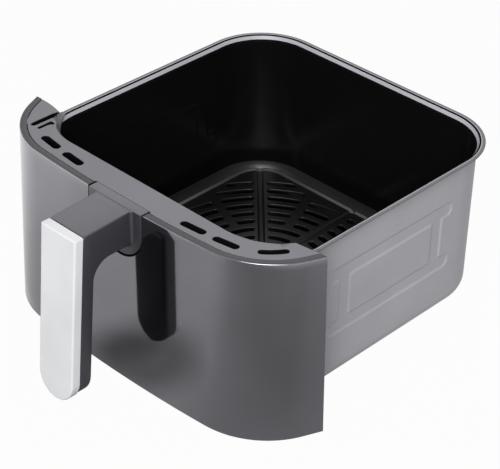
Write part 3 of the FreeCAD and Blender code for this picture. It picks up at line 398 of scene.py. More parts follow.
bend_mid = (WALL + BEND, RIM_TOP - GAUGE - BEND)
edge_mid = (RIM - GAUGE / 2, RIM_TOP - GAUGE / 2)
rise = (wall_z - FOOT) / (wall_z[-1] - FOOT)
outer_wall = leaning(np.stack([np.full(len(wall_z), WALL), wall_z], axis=1), rise)
inner_wall = (outer_wall - [GAUGE, 0.0, 0.0])[::-1]
outside = np.concatenate([
    leaning(arc((WALL - FOOT, FOOT), FOOT, -90, 0, 14)[:-1], 0.0), outer_wall,
    leaning(arc(bend_mid, BEND, 180, 90, 6)[1:], 1.0), leaning(arc(edge_mid, GAUGE / 2, -90, -45, 3), 0.0)])
crease = leaning(arc((FLAT_END, RIM_TOP - LIP_BEND), LIP_BEND, 90, 135, 5), 1.0)
strip = leaning([[FLAT_END + HIGHLIGHT_LINE_WIDTH, RIM_TOP], [FLAT_END, RIM_TOP]], 1.0)
flange = np.concatenate([leaning(arc(edge_mid, GAUGE / 2, -45, 90, 7), 0.0), strip[:1]])
slope_end = inner_wall[0] + [0.0, SLOPE_LIFT, 0.0]
slope = crease[-1] + np.linspace(0, 1, 9)[:, None] * (slope_end - crease[-1])
highlight_band_row = int(np.argmax(slope[:, 1] < HIGHLIGHT_BAND_END))
inside = np.concatenate([
    slope[-1:], inner_wall[inner_wall[:, 1] > HOLLOW + GAUGE],
    leaning(arc((WALL - GAUGE - HOLLOW, HOLLOW + GAUGE), HOLLOW, 0, -90, 16), 0.0)])
outer_skin = carry(outside, 1.0)
inner_skin = carry(inside, INNER_PRESS)
reflection_band_row = int(np.argmax(inside[:, 1] < REFLECTION_BAND_TOP))
pan = make_piece("pan_sheet", "drawer", "pan", [
    (*sheet(outer_skin, wrap=True), grey_coat_and_painted_highlight),
    (*sheet(carry(flange, 0.0), wrap=True), rim_grey),
    # painted highlight: a grey line at the flange's inner edge
    (*sheet(carry(strip, 0.0), wrap=True), grey_coat_and_painted_highlight),
    # painted shade: the crease painted black as a dark line
    (*sheet(carry(crease, 0.0), wrap=True), black_and_painted_shade),
    # painted highlight: the upper part of the slope painted grey as a light band
    (*sheet(carry(slope[:highlight_band_row + 1], 0.0), wrap=True), grey_coat_and_painted_highlight),
    (*sheet(carry(slope[highlight_band_row:], 0.0), wrap=True), black_and_painted_shade),
    (*sheet(inner_skin[:reflection_band_row + 1], wrap=True), coat_black),
    # painted reflection: the round lower edge inside painted lighter
    (*sheet(inner_skin[reflection_band_row:], wrap=True), painted_reflection_foot),
    (*fan(outer_skin[0], (0.0, 0.0, 0.0)), grey_coat_and_painted_highlight),
    (*fan(inner_skin[-1], (0.0, 0.0, GAUGE)), coat_black),
])

# %% [markdown]
# ## Outlines with soft edges
# Plates and mouldings are flat faces with slots in them, and every real edge is a little round:
# that is what catches the light. A Bevel modifier could round them, but slots close together make
# it stumble. Here each outline is moved into the material step by step, which gives the rings of a
# round edge, and the flat that is left is filled with triangles.

# %% Outline helpers
FLAT_RING = 1.25


def move_in(loop, inset):
    """A closed outline moved to its left, into the material: each point goes along the mean of
    its two edge normals, stretched so that both edges move by the inset."""
    ahead = np.roll(loop, -1, axis=0) - loop
    ahead /= np.linalg.norm(ahead, axis=1, keepdims=True)
    side = np.stack([-ahead[:, 1], ahead[:, 0]], axis=1)
    mean = side + np.roll(side, 1, axis=0)
    mean /= np.maximum(np.linalg.norm(mean, axis=1, keepdims=True), 1e-9)
    stretch = 1.0 / np.maximum(np.sum(mean * side, axis=1), 0.4)
    return loop + mean * (stretch * inset)[:, None]


def soft_edge(loop, radius, steps=4):
    """Rings of a round upper edge: each step of a quarter circle gives an inset and a drop. A
    narrow flat ring comes first, so that the flat face keeps a straight normal."""
    radius = np.broadcast_to(radius, len(loop)).astype(float)
    rings = [np.column_stack([move_in(loop, radius * FLAT_RING), np.zeros(len(loop))])]
    for turn in np.linspace(0.0, math.pi / 2, steps + 1):
        inset = radius * (1.0 - math.sin(turn))
        drop = radius * (1.0 - math.cos(turn))
        rings.append(np.column_stack([move_in(loop, inset), -drop]))
    return np.stack(rings)


def fill(loops, lines=()):
    """Triangles between outlines: a constrained triangulation of all points, less the triangles
    whose middle is crossed out by an even count of outlines. Lines are extra edges to keep."""
    points, edges = [], []
    count = 0
    for loop in loops:
        index = np.arange(len(loop))
        edges.append(np.stack([index, np.roll(index, -1)], axis=1) + count)
        points.append(loop)
        count += len(loop)
    for line in lines:
        index = np.arange(len(line))
        edges.append(np.stack([index[:-1], index[1:]], axis=1) + count)
        points.append(line)
        count += len(line)
    found = delaunay_2d_cdt([tuple(p) for p in np.concatenate(points).tolist()],
                            np.concatenate(edges).tolist(), [], 0, 1e-6)
    plan = np.array([tuple(p) for p in found[0]])
    faces = np.array([face for face in found[2] if len(face) == 3])
    middle = plan[faces].mean(axis=1)
    odd = np.zeros(len(faces), dtype=bool)
    for loop in loops:
        after = np.roll(loop, -1, axis=0)
        spans = (loop[None, :, 1] > middle[:, None, 1]) != (after[None, :, 1] > middle[:, None, 1])
        rise = after[:, 1] - loop[:, 1]
        rise = np.where(np.abs(rise) < 1e-12, 1e-12, rise)
        cut = loop[:, 0] + (middle[:, None, 1] - loop[:, 1]) * (after[:, 0] - loop[:, 0]) / rise
        odd ^= (np.sum(spans & (middle[:, None, 0] < cut), axis=1) % 2).astype(bool)
    return plan, faces[odd]


def level_ring(loop, height):
    """An outline at one height."""
    return np.column_stack([loop, np.full(len(loop), height)])


square = np.array([[0.0, 0.0], [4.0, 0.0], [4.0, 4.0], [0.0, 4.0]])
print("a square of 4 moved in by 1 starts at", move_in(square, 1.0)[0])

# %% [markdown]
# ## Crisper plate
# The plate is a square pressing. Eight shallow channels run out from its middle, and between them
# lie rings of slots with round lips. A polar array of cut-outs would be the usual way by hand. The
# slots are arcs, so a slot's outline can be written down at any growth, which gives its lip, its
# wall and the hole in the flat face from one function.

# %% Slots
PLATE_HALF, PLATE_RADIUS, PLATE_TOP, PLATE_GAUGE = 98.5, 26.5, 15.25, 1.5
SLOT_HALF, LIP = 2.4, 0.5
RINGS, WHOLE_RINGS, FIRST_RING, RING_PITCH = 8, 2, 34.0, 10.35
CHANNEL_KEEP, SPOKE_KEEP, EDGE_KEEP = 5.0, 3.2, 6.8


def slot_spans():
    """Every slot as (ring radius, first angle, last angle) of its end centres. Inner rings run
    from channel to diagonal channel, outer rings are broken by a spoke."""
    spans = []
    for ring in range(RINGS):
        radius = FIRST_RING + ring * RING_PITCH
        channel = math.degrees(math.asin(CHANNEL_KEEP / radius))
        spoke = math.degrees(math.asin(SPOKE_KEEP / radius))
        reach = (PLATE_HALF - EDGE_KEEP) / radius
        nearest = math.degrees(math.acos(reach)) if reach < 1 else 0.0
        if ring < WHOLE_RINGS:
            pairs = [(channel, 45 - channel)]
        else:
            pairs = [(max(22.5 + spoke, nearest), 45 - channel)]
            pairs += [(channel, 22.5 - spoke)] if nearest == 0.0 else []
        turn = math.degrees(SLOT_HALF / radius)
        spans += [(radius, low + turn, high - turn) for low, high in pairs]
    return np.array(spans)


def slot_loop(radius, low, high, half):
    """A slot's outline: out along the larger arc, round the end, back along the smaller one."""
    end = np.radians(np.linspace(0, 180, 9))
    along = np.linspace(low, high, 9)
    reach = np.concatenate([np.full(9, radius + half), radius + half * np.cos(end)[1:-1],
                            np.full(9, radius - half), radius - half * np.cos(end)[1:-1]])
    bulge = np.degrees(half * np.sin(end)[1:-1] / radius)
    turn = np.radians(np.concatenate([along, high + bulge, along[::-1], low - bulge]))
    return np.stack([reach * np.cos(turn), reach * np.sin(turn)], axis=1)


SPANS = []
for radius, low, high in slot_spans():
    for quarter in (0, 90, 180, 270):
        SPANS += [(radius, quarter + low, quarter + high), (radius, quarter - high, quarter - low)]
print("slots", len(SPANS))

# %% [markdown]
# The channels are shallow grooves with a flat bottom, and they run out over the plate's edge. They
# could be cut as solids. A groove this flat is only a drop in height, so the face gets extra edges
# along both shoulders of every channel, and its points are lowered by their distance to the line.

# %% Channels
CHANNEL_DEPTH, CHANNEL_HALF, CHANNEL_SLOPE = 0.9, 2.6, 1.2
SHOULDERS = np.array([1.4, 1.7, 2.0, 2.3, 2.6, 3.0])
SIDE_REACH, CORNER_REACH, CORNER_CURVE = 95.0, 124.7, 40.0


def channel_drop(plan):
    """Depth of the channels: the distance to the nearest of four lines through the middle, eased
    from the shoulder to the flat bottom."""
    turns = np.radians([0, 45, 90, 135])
    away = np.abs(plan[..., 0, None] * np.sin(turns) - plan[..., 1, None] * np.cos(turns)).min(axis=-1)
    return CHANNEL_DEPTH * ease((CHANNEL_HALF - away) / CHANNEL_SLOPE)


def channel_lines():
    """Edges along both shoulders of every channel, from side to side of the plate."""
    lines = []
    for turn in (0, 45, 90, 135):
        along = np.array([math.cos(math.radians(turn)), math.sin(math.radians(turn))])
        across = np.array([-along[1], along[0]])
        for shift in np.concatenate([-SHOULDERS, [0.0], SHOULDERS]):
            end = SIDE_REACH if turn % 90 == 0 else CORNER_REACH - shift * shift / CORNER_CURVE
            lines.append(np.linspace(-end, end, 31)[:, None] * along + shift * across)
    return lines


print("channel lines", len(channel_lines()))

# %% [markdown]
# The plate's border rises by about a millimetre, turns over in a soft bead that catches the light, and goes
# down as a skirt with a rolled edge. The rise and the bead are painted a lighter black with more gloss than
# the plate, as a painted highlight. Bevels on a box would not give the bead. Here the border is a section, a
# list of steps outwards and upwards, and each step is a ring of the outline.

# %% Plate mesh
PLATE_EDGE, SKIRT, ROLL_RADIUS = 2.5, 10.0, 0.75
BORDER = [(-1.0, 0.0), (-0.7, 0.03), (-0.4, 0.13), (0.3, 0.53), (1.0, 0.93), (1.4, 1.09), (1.8, 1.10),
          (2.2, 0.90), (2.45, 0.45), (2.5, 0.0)]


def plate_ring(grow):
    """The plate's round-cornered outline, grown from the end of its flat, against the clock. The
    points are close together where a channel runs out over the edge."""
    mid, radius = PLATE_HALF - PLATE_RADIUS, PLATE_RADIUS - PLATE_EDGE + grow
    run = np.unique(np.concatenate([np.linspace(-mid, mid, 13), -SHOULDERS, SHOULDERS]))
    bend = np.degrees(SHOULDERS / (PLATE_RADIUS - PLATE_EDGE))
    turn = np.unique(np.concatenate([np.linspace(0, 90, 13), 45 - bend, 45 + bend]))[1:-1]
    loop = []
    for quarter in range(4):
        c, s = math.cos(math.pi / 2 * quarter), math.sin(math.pi / 2 * quarter)
        angle = np.radians(turn)
        side = np.stack([np.full(len(run), mid + radius), run], axis=1)
        corner = np.stack([mid + radius * np.cos(angle), mid + radius * np.sin(angle)], axis=1)
        loop.append(np.concatenate([side, corner]) @ np.array([[c, s], [-s, c]]))
    return np.concatenate(loop)


def skirt_section():
    """The skirt's section as (outwards, upwards): down the outside, round the rolled edge, up the
    inside and round to the underside of the plate."""
    inner = PLATE_EDGE - PLATE_GAUGE
    rolled = arc((PLATE_EDGE - ROLL_RADIUS, ROLL_RADIUS - SKIRT), ROLL_RADIUS, 0, -180, 6)[1:]
    turned = arc((0.0, -PLATE_EDGE), inner, 0, 90, 4)[1:]
    return [(PLATE_EDGE, ROLL_RADIUS - SKIRT), *rolled.tolist(), (inner, -PLATE_EDGE),
            *turned.tolist(), (-1.0, -PLATE_GAUGE)]


def make_plate():
    """Top and under faces, a lip and wall in every slot, and the border: it rises outwards in a
    narrow slope, turns over and goes down as a skirt. The channels run out through it."""
    holes = [slot_loop(*span, SLOT_HALF + LIP * FLAT_RING) for span in SPANS]
    plan, faces = fill([plate_ring(-1.0)] + holes, channel_lines())
    drop = channel_drop(plan)
    top = np.column_stack([plan, PLATE_TOP - drop])
    under = np.column_stack([plan, PLATE_TOP - PLATE_GAUGE - drop])
    parts = [(top, faces, plate_black), (under, faces[:, ::-1], plate_black)]
    turn = np.linspace(0, math.pi / 2, 5)
    grow = np.concatenate([[LIP * FLAT_RING], LIP * (1 - np.sin(turn)), [0.0, LIP * FLAT_RING]])
    sink = np.concatenate([[0.0], LIP * (1 - np.cos(turn)), [PLATE_GAUGE, PLATE_GAUGE]])
    for span in SPANS:
        rings = [level_ring(slot_loop(*span, SLOT_HALF + g), PLATE_TOP - s) for g, s in zip(grow, sink)]
        parts.append((*sheet(np.stack(rings), wrap=True), plate_black))
    rise = np.stack([level_ring(plate_ring(out), PLATE_TOP + up) for out, up in BORDER])
    rise[..., 2] -= channel_drop(rise[..., :2])
    fall = np.stack([rise[-1]] + [level_ring(plate_ring(out), PLATE_TOP + up) for out, up in skirt_section()])
    fall[-1, :, 2] -= channel_drop(fall[-1, :, :2])
    # painted highlight: the border's rise and bead in a lighter black
    parts.append((*sheet(rise, wrap=True), plate_bead_highlight))
    parts.append((*sheet(fall, wrap=True), plate_black))
    return make_piece("crisper_plate_pressing", "crisper", "crisper_plate", parts, sharp=45.0)


plate = make_plate()

# %% [markdown]
# ## Front panel
# The panel is a moulded shell: in plan a shallow arc, a tight arc at each shoulder and a straight
# run to each end. Its foot stands a little further forward and wider than its top, so it could be
# lofted between two plans. Here that is done column by column: every column of points runs
# straight from the lower plan to the upper one. The notch for the handle's root splits the shell
# into a lower band, whose top follows the notch, and two upper bands that end in a thicker brow.

# %% Panel curve
CROWN, SHOULDER, LAST = 1080.0, 61.6, math.radians(67.2)
PANEL_HALF, PANEL_FLARE, PANEL_END = 136.7, 3.0, 86.4
PANEL_FRONT, PANEL_LEAN, PANEL_GAUGE, PANEL_BROW = 138.4, 3.6, 3.4, 4.9
PANEL_LOW, DECK_TOP = -5.5, 130.2
NOTCH_HALF, NOTCH_RADIUS, NOTCH_LOW = 25.9, 21.4, 91.9


def apex_at(height):
    """How far forward the outer face stands in the middle, at a height."""
    return PANEL_FRONT + PANEL_LEAN * (0.5 - (height - PANEL_LOW) / (DECK_TOP - PANEL_LOW))


def panel_plan(height, inset):
    """The right half of the plan at a height, inset from the outer face: the notch's width, the
    rest of the crown, the shoulder and the straight run. The angle at which crown and shoulder
    meet follows from the reach and the depth of the whole curve."""
    reach = PANEL_HALF + PANEL_FLARE * (DECK_TOP - height) / (DECK_TOP - PANEL_LOW)
    apex = apex_at(height)
    level = reach * math.sin(LAST) - (apex - PANEL_END) * math.cos(LAST) - SHOULDER + CROWN * math.cos(LAST)
    first = LAST - math.acos(level / (CROWN - SHOULDER))
    notch = NOTCH_HALF - NOTCH_RADIUS + NOTCH_RADIUS * np.sin(np.radians(np.linspace(0, 90, 11)))
    rest = np.linspace(NOTCH_HALF, (CROWN - inset) * math.sin(first), 11)[1:]
    crown_x = np.concatenate([[0.0, 2.25], notch, rest])
    crown_y = CROWN - apex - np.sqrt((CROWN - inset) ** 2 - crown_x ** 2)
    turn = np.linspace(first, LAST, 29)[1:]
    bend_x = math.sin(first) * (CROWN - SHOULDER) + (SHOULDER - inset) * np.sin(turn)
    bend_y = CROWN - apex - math.cos(first) * (CROWN - SHOULDER) - (SHOULDER - inset) * np.cos(turn)
    run = np.linspace(0, 1, 4)[1:] * (-PANEL_END - bend_y[-1])
    x = np.concatenate([crown_x, bend_x, bend_x[-1] + run / math.tan(LAST)])
    y = np.concatenate([crown_y, bend_y, bend_y[-1] + run])
    return np.stack([x, y], axis=1)


def both_sides(half):
    """A curve on the right and its mirror image, joined at the middle, from left to right."""
    return np.concatenate([half[:0:-1] * [-1, 1], half])


def panel_skin(inset, height):
    """Points of the shell at an inset, for rows of heights: each column lies on the straight line
    from the lower plan to the upper one."""
    low = both_sides(panel_plan(PANEL_LOW, inset))
    high = both_sides(panel_plan(DECK_TOP, inset))
    share = ((height - PANEL_LOW) / (DECK_TOP - PANEL_LOW))[..., None]
    return np.concatenate([low * (1 - share) + high * share, height[..., None]], axis=-1)


columns = len(panel_plan(0.0, 0.0)) * 2 - 1
print("panel columns", columns)

# %% [markdown]
# The shell is glossy outside and matt on its upper edge. The walls of the notch lie in a dark gap and are
# painted black, as painted shade. Solidify could thicken one skin, but the brow is thicker than the rest. So
# both skins are computed, at two insets from the same plan, and strips with round corners join them.

# %% Panel mesh
FOOT_SOFT, BROW_SOFT, BROW_INNER, BROW_FROM = 0.6, 0.5, 0.2, (121.0, 123.0)
PANEL_BOSS, BOSS_RADIUS = (73.0, (20.0, 104.0), (-134.2, -126.8)), 3.6


def edge_profile(gauge, outer, inner):
    """A wall's end in section, from the outer face to the inner one, as inset and drop: a quarter
    circle at each side and the flat between them."""
    turn = np.linspace(0, math.pi / 2, 4)
    inset = np.concatenate([outer * (1 - np.cos(turn)), gauge - inner * (1 - np.sin(turn))])
    drop = np.concatenate([outer * (1 - np.sin(turn)), inner * (1 - np.cos(turn))])
    return list(zip(inset, drop))


def panel_bands():
    """The lower band, the two upper bands, the walls of the notch and both ends."""
    every = np.ones((1, columns))
    x = both_sides(panel_plan(0.0, 0.0))[:, 0]
    reach = np.clip(np.abs(x) - (NOTCH_HALF - NOTCH_RADIUS), 0.0, NOTCH_RADIUS)
    level = NOTCH_LOW + NOTCH_RADIUS
    split = np.where(np.abs(x) <= NOTCH_HALF, level - np.sqrt(NOTCH_RADIUS ** 2 - reach ** 2), level)
    share = np.linspace(0, 1, 9)[:, None]
    band = (PANEL_LOW + FOOT_SOFT) * (1 - share) + split[None, :] * share
    outer, inner = panel_skin(0.0, band), panel_skin(PANEL_GAUGE, band)
    foot = np.concatenate([panel_skin(inset, every * (PANEL_LOW + drop))
                           for inset, drop in edge_profile(PANEL_GAUGE, FOOT_SOFT, FOOT_SOFT)])
    brow = np.concatenate([panel_skin(inset, every * (DECK_TOP - drop))
                           for inset, drop in edge_profile(PANEL_BROW, BROW_SOFT, BROW_INNER)])
    steps = np.array([0.0, 0.35, 0.7, 1.0])[:, None]
    out_high = panel_skin(0.0, (level + (DECK_TOP - BROW_SOFT - level) * steps) * every)
    in_high = np.concatenate([
        panel_skin(PANEL_GAUGE, every * level), panel_skin(PANEL_GAUGE, every * BROW_FROM[0]),
        panel_skin(PANEL_BROW, every * BROW_FROM[1]), panel_skin(PANEL_BROW, every * (DECK_TOP - BROW_INNER))])
    at = int(np.argmin(np.abs(x[:columns // 2] + NOTCH_HALF)))
    glossy = [outer, inner, foot]
    matt = []
    for begin, end in ((0, at + 1), (columns - at - 1, columns)):
        glossy += [skin[:, begin:end] for skin in (out_high, in_high, brow[:4])]
        matt.append(brow[3:, begin:end])
    for column in (0, columns - 1):
        glossy += [np.stack([outer[:, column], inner[:, column]]),
                   np.stack([foot[:4, column], foot[:3:-1, column]])]
    ends = {column: [np.stack([out_high[:, column], in_high[:, column]]),
                     np.stack([brow[:4, column], brow[:3:-1, column]])] for column in (0, at, -at - 1, -1)}
    glossy += ends[0] + ends[-1]
    # painted shade: the notch's walls and the top of the lower band in it are painted black, for the dark gap
    dark = [np.stack([outer[-1, at:columns - at], inner[-1, at:columns - at]])] + ends[at] + ends[-at - 1]
    kinds = ((glossy, panel_dark), (matt, panel_edge), (dark, black_and_painted_shade))
    return [(*sheet(grid), finish) for grids, finish in kinds for grid in grids]


def post(low, high, radius, axis):
    """A round post between two points along an axis, closed at both ends."""
    ring = arc((0, 0), 1.0, 0, 345, 23)
    spread = np.roll(np.column_stack([ring, np.zeros(24)]), axis + 1, axis=1)
    low, high = np.array(low), np.array(high)
    rows = [low + spread * 0.0, low + spread * radius, high + spread * radius, high + spread * 0.0]
    return sheet(np.stack(rows), wrap=True)


panel_parts = panel_bands()
boss_x, boss_heights, (boss_front, boss_back) = PANEL_BOSS
for side in (-boss_x, boss_x):
    for height in boss_heights:
        boss = post((side, boss_front, height), (side, boss_back, height), BOSS_RADIUS, 1)
        panel_parts.append((*boss, panel_dark))
panel = make_piece("front_panel_shell", "drawer", "front_panel", panel_parts)

# %% [markdown]
# ## Top trim
# The trim closes the space between the panel and the pan. Its flat deck has vents, and at the left
# end a latch with a thin rib between two slots. Towards the pan it turns down in a collar, which
# runs level along the front and then ramps down over each corner to the rim. The deck is an
# outline with soft edges, like the plate. The collar could be swept with a curve and a bevel
# object, but its section changes all the way. So it is one section carried along the opening, and
# at the corners its points follow tables of angle, reach and height.

# %% Collar
LIP_LOW, ARM_UNDER, COLLAR_SOFT, COLLAR_FOOT = 118.5, 121.7, 0.45, 0.3
LEFT_TABLE = np.array([
    # angle, inner reach, inner height, outer reach, outer height
    [-90.0, 36.7, 130.2, 38.4, 130.2], [-80.0, 36.6, 129.9, 37.9, 130.2], [-72.0, 36.2, 129.0, 37.6, 130.2],
    [-63.0, 35.8, 127.6, 37.7, 130.2], [-51.0, 35.6, 125.4, 38.0, 130.2], [-46.0, 35.6, 124.6, 37.9, 130.2],
    [-42.5, 35.7, 124.1, 38.4, 130.2], [-38.6, 36.0, 123.7, 40.0, 130.2], [-32.0, 36.7, 123.2, 41.4, 128.6],
    [-24.0, 38.2, 122.8, 42.9, 126.8], [-14.0, 40.6, 122.4, 44.6, 124.4], [-8.0, 42.4, 122.1, 45.4, 122.8]])
RIGHT_TABLE = np.array([
    [-90.0, 36.7, 130.2, 38.4, 130.2], [-76.0, 36.7, 130.2, 37.7, 130.2], [-63.0, 36.7, 129.5, 38.0, 130.2],
    [-51.0, 36.6, 127.6, 38.9, 130.2], [-44.0, 36.5, 126.2, 39.8, 130.2], [-38.6, 36.5, 125.0, 40.6, 130.2],
    [-34.0, 36.7, 124.2, 41.4, 130.2], [-28.0, 37.2, 123.5, 42.2, 128.4], [-22.0, 38.2, 123.0, 42.9, 126.0],
    [-14.0, 40.2, 122.4, 43.8, 123.4], [-8.0, 42.4, 122.1, 44.4, 122.4]])


def read_table(table, angle):
    """A smooth curve through each column of a table: on every interval a cubic whose ends have the
    table's own mean slopes."""
    marks, values = table[:, 0], table[:, 1:]
    slope = np.gradient(values, marks, axis=0)
    at = np.clip(np.searchsorted(marks, angle, side="right") - 1, 0, len(marks) - 2)
    width = (marks[at + 1] - marks[at])[:, None]
    t = ((angle - marks[at])[:, None] / width).clip(0, 1)
    near = (1 + 2 * t) * (1 - t) ** 2 * values[at] + t * (1 - t) ** 2 * width * slope[at]
    return near + t * t * (3 - 2 * t) * values[at + 1] + t * t * (t - 1) * width * slope[at + 1]


def corner_point(side, reach, angle):
    """A point at a reach and angle about a front corner's centre."""
    turn = np.radians(angle)
    return np.stack([side * (CORNER_MID + reach * np.cos(turn)), -CORNER_MID + reach * np.sin(turn)], axis=-1)


def collar_rows(side, table, angle):
    """Sections of the collar at the given angles: outer edge, sloping top, round inner edge, inner
    wall and underside. The round edge is a curve of second degree around the corner point."""
    inner, inner_z, outer, outer_z = read_table(table, angle).T
    inner_z, outer_z = np.minimum(inner_z, DECK_TOP), np.minimum(outer_z, DECK_TOP)
    low = np.interp(angle, [-47.0, -42.0], [LIP_LOW, ARM_UNDER])
    length = np.hypot(outer - inner, outer_z - inner_z)
    soft = np.minimum(COLLAR_SOFT, 0.35 * length) / length
    begin_r, begin_z = inner + (outer - inner) * soft, inner_z + (outer_z - inner_z) * soft
    end_z = inner_z - COLLAR_SOFT
    reach, height = [outer], [outer_z]
    for t in np.linspace(0, 1, 6):
        reach.append((1 - t) ** 2 * begin_r + (1 - (1 - t) ** 2) * inner)
        height.append((1 - t) ** 2 * begin_z + 2 * t * (1 - t) * inner_z + t * t * end_z)
    reach += [inner, inner + COLLAR_FOOT, outer]
    height += [low + COLLAR_FOOT, low, low]
    plan = corner_point(side, np.stack(reach, axis=1), angle[:, None])
    return np.concatenate([plan, np.stack(height, axis=1)[..., None]], axis=-1)


def make_collar():
    """The collar from the left arm along the front to the right arm, with both ends closed."""
    left, right = [
        collar_rows(side, table, np.unique(np.concatenate([np.linspace(-90, -8, 38), table[:, 0]])))
        for side, table in ((-1, LEFT_TABLE), (1, RIGHT_TABLE))]
    points = np.concatenate([left[::-1], right])
    ends = [(*fan(end, end.mean(axis=0)), trim_grey) for end in (points[0], points[-1])]
    return [(*sheet(points, wrap=True), trim_grey)] + ends


print("collar tables", len(LEFT_TABLE), "and", len(RIGHT_TABLE), "rows")

# %% [markdown]
# The deck lies a hair's breadth from the panel's edge, steps round the handle's seat and meets the
# collar in a crease. Drawn by hand it would be a curve with many points. Most of them are known
# already: the panel's own plan at an inset, and the outer edge of the collar, so only the ends and
# the latch are typed in.

# %% Deck outline
SEAT_HALF, SEAT_BACK, DECK_GAP, CREASE_LAP = 25.9, -129.4, 0.5, 0.02
HORN_TIP = [-111.0, -88.2]
HORN_LINE = np.array([[-117.0, -87.4], [-111.0, -94.5]])


def deck_outline():
    """The deck's outline against the clock, with the edge radius of every point and whether it lies
    in a dark gap: along the panel, round the handle's seat, over the right end, along the collar and
    into the latch slot."""
    half = panel_plan(DECK_TOP, PANEL_BROW + DECK_GAP)
    half = half[half[:, 0] > SEAT_HALF + 0.3]
    left_end = half[::-1] * [-1, 1]
    seat = np.array([[-SEAT_HALF, half[0, 1]], [-SEAT_HALF, SEAT_BACK],
                     [SEAT_HALF, SEAT_BACK], [SEAT_HALF, half[0, 1]]])
    horn = np.array([[124.3, -87.4], [118.0, -88.2], [112.5, -88.9]])
    right_angle = np.unique(np.concatenate([np.linspace(-90, -34, 26), [-44.0, -38.6]]))[::-1]
    left_angle = np.unique(np.concatenate([np.linspace(-90, -38.6, 26), [-46.0, -42.5]]))
    right_crease = corner_point(1, read_table(RIGHT_TABLE, right_angle)[:, 2] + CREASE_LAP, right_angle)
    left_crease = corner_point(-1, read_table(LEFT_TABLE, left_angle)[:, 2] + CREASE_LAP, left_angle)
    latch = np.concatenate([[[-106.6, -97.2], [-106.7, -104.0], [-106.8, -112.0]],
                            arc((-108.9, -112.2), 2.1, 0, -180, 8), HORN_LINE[1:]])
    left_horn = np.array([HORN_TIP, HORN_LINE[0], [-124.3, -86.5]])
    loops, radii, gaps = zip(
        (left_end, 0.3, True), (seat, 0.2, True), (half, 0.3, True), (horn, 0.4, False),
        (right_crease, 0.0, False), (left_crease, 0.0, False), (latch, 0.3, True), (left_horn, 0.4, False))
    counts = [len(loop) for loop in loops]
    return np.concatenate(loops), np.repeat(radii, counts), np.repeat(gaps, counts)


print("deck outline", len(deck_outline()[0]))

# %% [markdown]
# The vents are long holes with round ends, two on each side of the handle, a bent one at the right
# corner and a short slot beside the latch. Each is an outline of its own, walked with the clock, so
# that the deck lies on its left like everything else that gets a soft edge.

# %% Vents
def stadium(mid, turn, length, width):
    """A slot with round ends: two half circles, half a width from the ends of its length, turned
    and moved into place. It runs with the clock, so that the deck lies on its left."""
    half = length / 2 - width / 2
    ends = np.concatenate([arc((half, 0), width / 2, 90, -90, 8), arc((-half, 0), width / 2, -90, -270, 8)])
    c, s = math.cos(math.radians(turn)), math.sin(math.radians(turn))
    return np.array(mid) + ends @ np.array([[c, s], [-s, c]])


def bent_slot(mid, radius, middle, span, width):
    """A slot along an arc, with the clock: the arc at its radius less half the width and plus half
    the width, with a half circle at each end."""
    end = np.radians(np.linspace(0, 180, 9))[1:-1]
    along = np.linspace(middle - span / 2, middle + span / 2, 7)
    bulge = np.degrees(width / 2 * np.sin(end) / radius)
    reach = np.concatenate([np.full(7, radius - width / 2), radius - width / 2 * np.cos(end),
                            np.full(7, radius + width / 2), radius + width / 2 * np.cos(end)])
    turn = np.radians(np.concatenate([along, along[-1] + bulge, along[::-1], along[0] - bulge]))
    return np.array(mid) + np.stack([reach * np.cos(turn), reach * np.sin(turn)], axis=1)


short_slot = np.concatenate([
    arc((-102.4, -113.0), 1.6, 0, -180, 8), [[-104.0, -106.0]], arc((-102.6, -102.6), 1.5, 180, 90, 4),
    arc((-100.7, -103.0), 1.9, 70, -60, 8), [[-100.7, -106.4]]])[::-1]
VENTS = [
    stadium((-82.7, -119.3), -8.0, 19.6, 6.0), stadium((-56.8, -122.4), -5.0, 20.0, 6.0),
    stadium((56.8, -122.4), 5.0, 20.0, 5.6), stadium((82.7, -119.6), 9.0, 19.6, 5.6),
    bent_slot((CORNER_MID, -CORNER_MID), 49.3, -41.5, 17.0, 5.2), short_slot]
print("vents", len(VENTS))

# %% [markdown]
# Each vent opens into a box under the deck, whose wall and floor are painted black as shade. A plain hole
# would let light from the floor shine through, which the real trim doesn't. At the left end the inner corner
# of the deck is bent down in a small facet, and a thin wall and a shelf under it, painted black as shade,
# close the latch off.

# %% Trim mesh
DECK_UNDER, VENT_FLOOR, VENT_UNDER, VENT_WALL = 127.8, 122.6, 121.8, 0.8
LATCH_SHELF = ((-121.0, -114.5, 122.0), (-105.2, -91.0, 122.8))
LATCH_SCREEN = ((-129.0, -91.0, 122.0), (-111.6, -90.0, 128.6))
TRIM_BOSS, BOSS_SPAN = (38.0, -125.3), (118.0, 128.0)
VENT_SOFT, HORN_DIP, HORN_BOX = 0.3, 0.8, (-110.5, -95.5)


def horn_dip(plan):
    """How far the left end's inner corner is bent down: it grows with the distance beyond a line
    across the corner."""
    begin, end, corner = np.array([*HORN_LINE, HORN_TIP])
    across = np.array([-(end - begin)[1], (end - begin)[0]]) / np.linalg.norm(end - begin)
    beyond = np.maximum((plan - begin) @ across, 0.0)
    beyond = np.where((plan[:, 0] < HORN_BOX[0]) & (plan[:, 1] > HORN_BOX[1]), beyond, 0.0)
    return HORN_DIP * beyond / ((corner - begin) @ across)


def block(low, high):
    """A box between two corners."""
    x, y, z = np.array([low, high], dtype=float).T
    points = np.array([[x[i], y[j], z[k]] for k in (0, 1) for j in (0, 1) for i in (0, 1)])
    return points, np.array([[0, 2, 3, 1], [4, 5, 7, 6], [0, 1, 5, 4],
                             [2, 6, 7, 3], [0, 4, 6, 2], [1, 3, 7, 5]])


def vent_box(outline, top, floor, finish):
    """A wall from a ring of points down to a floor, and the floor."""
    plan, faces = fill([outline])
    wall = sheet(np.stack([top, level_ring(outline, floor)]), wrap=True)
    return [(*wall, finish), (level_ring(plan, floor), faces, finish)]


